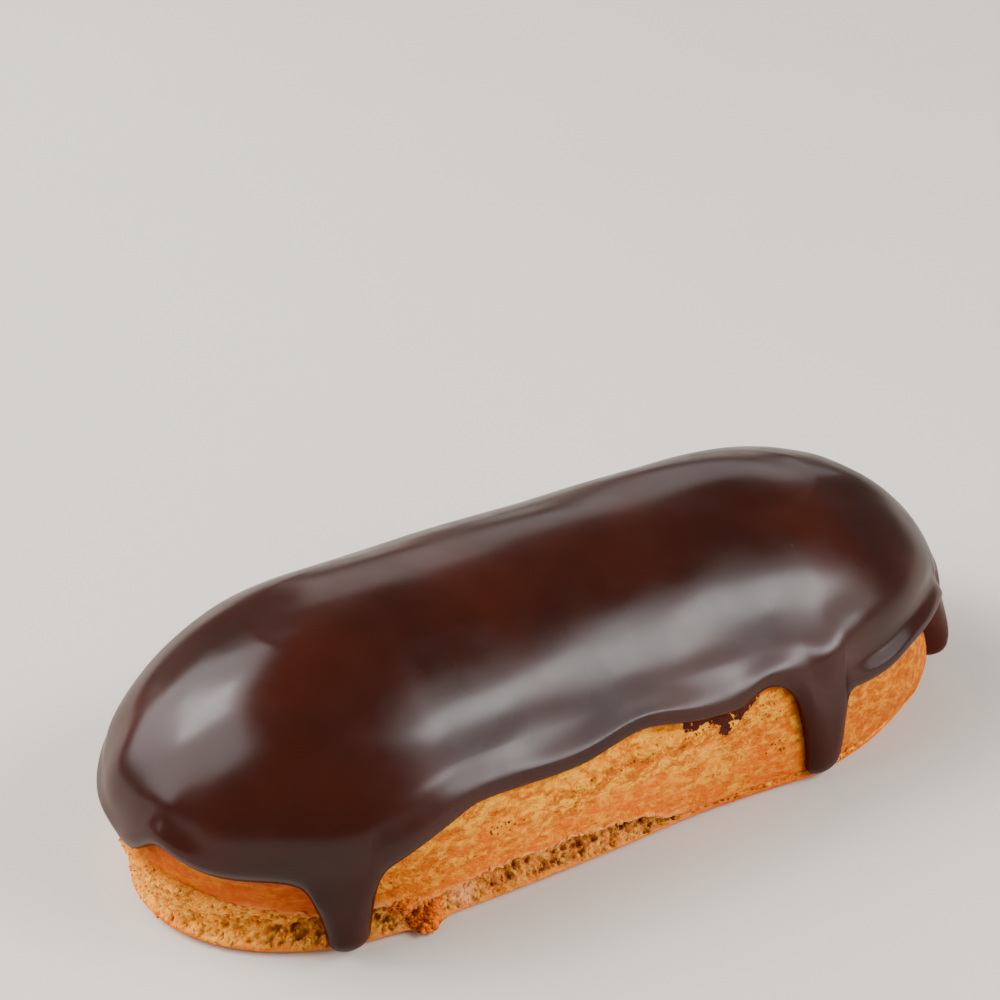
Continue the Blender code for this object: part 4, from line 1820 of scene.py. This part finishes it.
@dataclass(frozen=True)
class Softbox:
    """A large soft light, placed by where it stands as seen from the eclair."""

    name: str
    azimuth: float
    elevation: float
    distance: float
    width: float
    height: float
    watts: float
    colour: Colour = (1, 1, 1)

    def build(self) -> None:
        """Adds the light, turned to the eclair."""
        light = bpy.data.lights.new(self.name, "AREA")
        light.shape = "RECTANGLE"
        light.size = self.width
        light.size_y = self.height
        light.energy = self.watts
        light.color = self.colour
        turn, lift = math.radians(self.azimuth), math.radians(self.elevation)
        way = Vector((math.cos(turn) * math.cos(lift), math.sin(turn) * math.cos(lift), math.sin(lift)))
        made = new_object(self.name, light)
        made.location = way * self.distance
        made.rotation_euler = (-way).to_track_quat("-Z", "Y").to_euler()


@dataclass(frozen=True)
class Studio:
    """Pale floor, soft lights and the camera."""

    lights: tuple[Softbox, ...] = (
        Softbox("front_softbox", -48, 34, 0.9, 0.76, 0.8, 5.2),
        Softbox("front_core", -47, 43, 0.88, 0.42, 0.24, 4.3),
        Softbox("front_low_core", -58, 13, 0.88, 0.5, 0.1, 2.7),
        Softbox("left_softbox", 145, 38, 0.9, 1.3, 0.8, 18),
        Softbox("left_core", 142, 44, 0.88, 0.4, 0.32, 6.0),
        Softbox("back_softbox", 52, 22, 1.0, 0.8, 0.4, 1.4),
    )
    sky: Colour = (1.0, 0.98, 0.95)
    sky_strength: float = 0.24
    camera_place: tuple[float, float, float] = (-0.16752, -0.25570, 0.23056)
    camera_back: tuple[float, float, float] = (-0.45384, -0.72396, 0.51953)
    focal_length: float = 90
    film_width: float = 36
    floor_half: float = 1.6

    def build(self) -> None:
        """Builds the stage round the eclair."""
        for softbox in self.lights:
            softbox.build()
        world = bpy.data.worlds.new("soft_sky")
        world.use_nodes = True
        backdrop = world.node_tree.nodes["Background"]
        backdrop.inputs["Color"].default_value = (*self.sky, 1)
        backdrop.inputs["Strength"].default_value = self.sky_strength
        bpy.context.scene.world = world
        self.floor()
        self.camera()

    def floor(self) -> None:
        """Adds the floor."""
        half = self.floor_half
        corners = [(-half, -half, 0), (half, -half, 0), (half, half, 0), (-half, half, 0)]
        mesh = bpy.data.meshes.new("floor")
        mesh.from_pydata(corners, [], [(0, 1, 2, 3)])
        mesh.materials.append(FloorFinish().build())
        new_object("floor", mesh)

    def camera(self) -> None:
        """Adds the camera."""
        lens = bpy.data.cameras.new("camera")
        lens.lens = self.focal_length
        lens.sensor_width = self.film_width
        lens.clip_start = 0.01
        made = new_object("camera", lens)
        made.location = self.camera_place
        made.rotation_euler = (-Vector(self.camera_back)).to_track_quat("-Z", "Y").to_euler()
        bpy.context.scene.camera = made


def main() -> None:
    """Builds the eclair and its stage, and reports each piece."""
    logging.basicConfig(level=logging.INFO, format="%(name)s: %(message)s")
    coat = GlazeCoat()
    choux = ChouxBun(coat)
    bun = choux.build()
    pieces = [bun, coat.build()]
    grains = LooseCrumbs(
        Scatter.GRAINS, size=0.7, least=0.4, spread=3.0, density=1.2e6, flat=0.8, seed=5,
        where="crumb", material=choux.material,
    )  # fmt: skip
    flakes = LooseCrumbs(
        Scatter.FLAKES, size=1.6, least=0.4, spread=0.5, density=1.6e6, flat=0.16, seed=9,
        where="flake", material=choux.material,
    )  # fmt: skip
    lumps = LooseCrumbs(
        Scatter.LUMPS, size=1.6, least=0.35, spread=3.0, density=4.0e6, flat=1.3, seed=14,
        where="clump", material=choux.material, tint="crag",
    )  # fmt: skip
    pieces += [loose.build(bun) for loose in (grains, flakes, lumps)]
    Studio().build()
    for piece in pieces:
        triangles = sum(len(face.vertices) - 2 for face in piece.data.polygons)
        LOG.info("%s: %d triangles", piece.name, triangles)


if __name__ == "__main__":
    main()
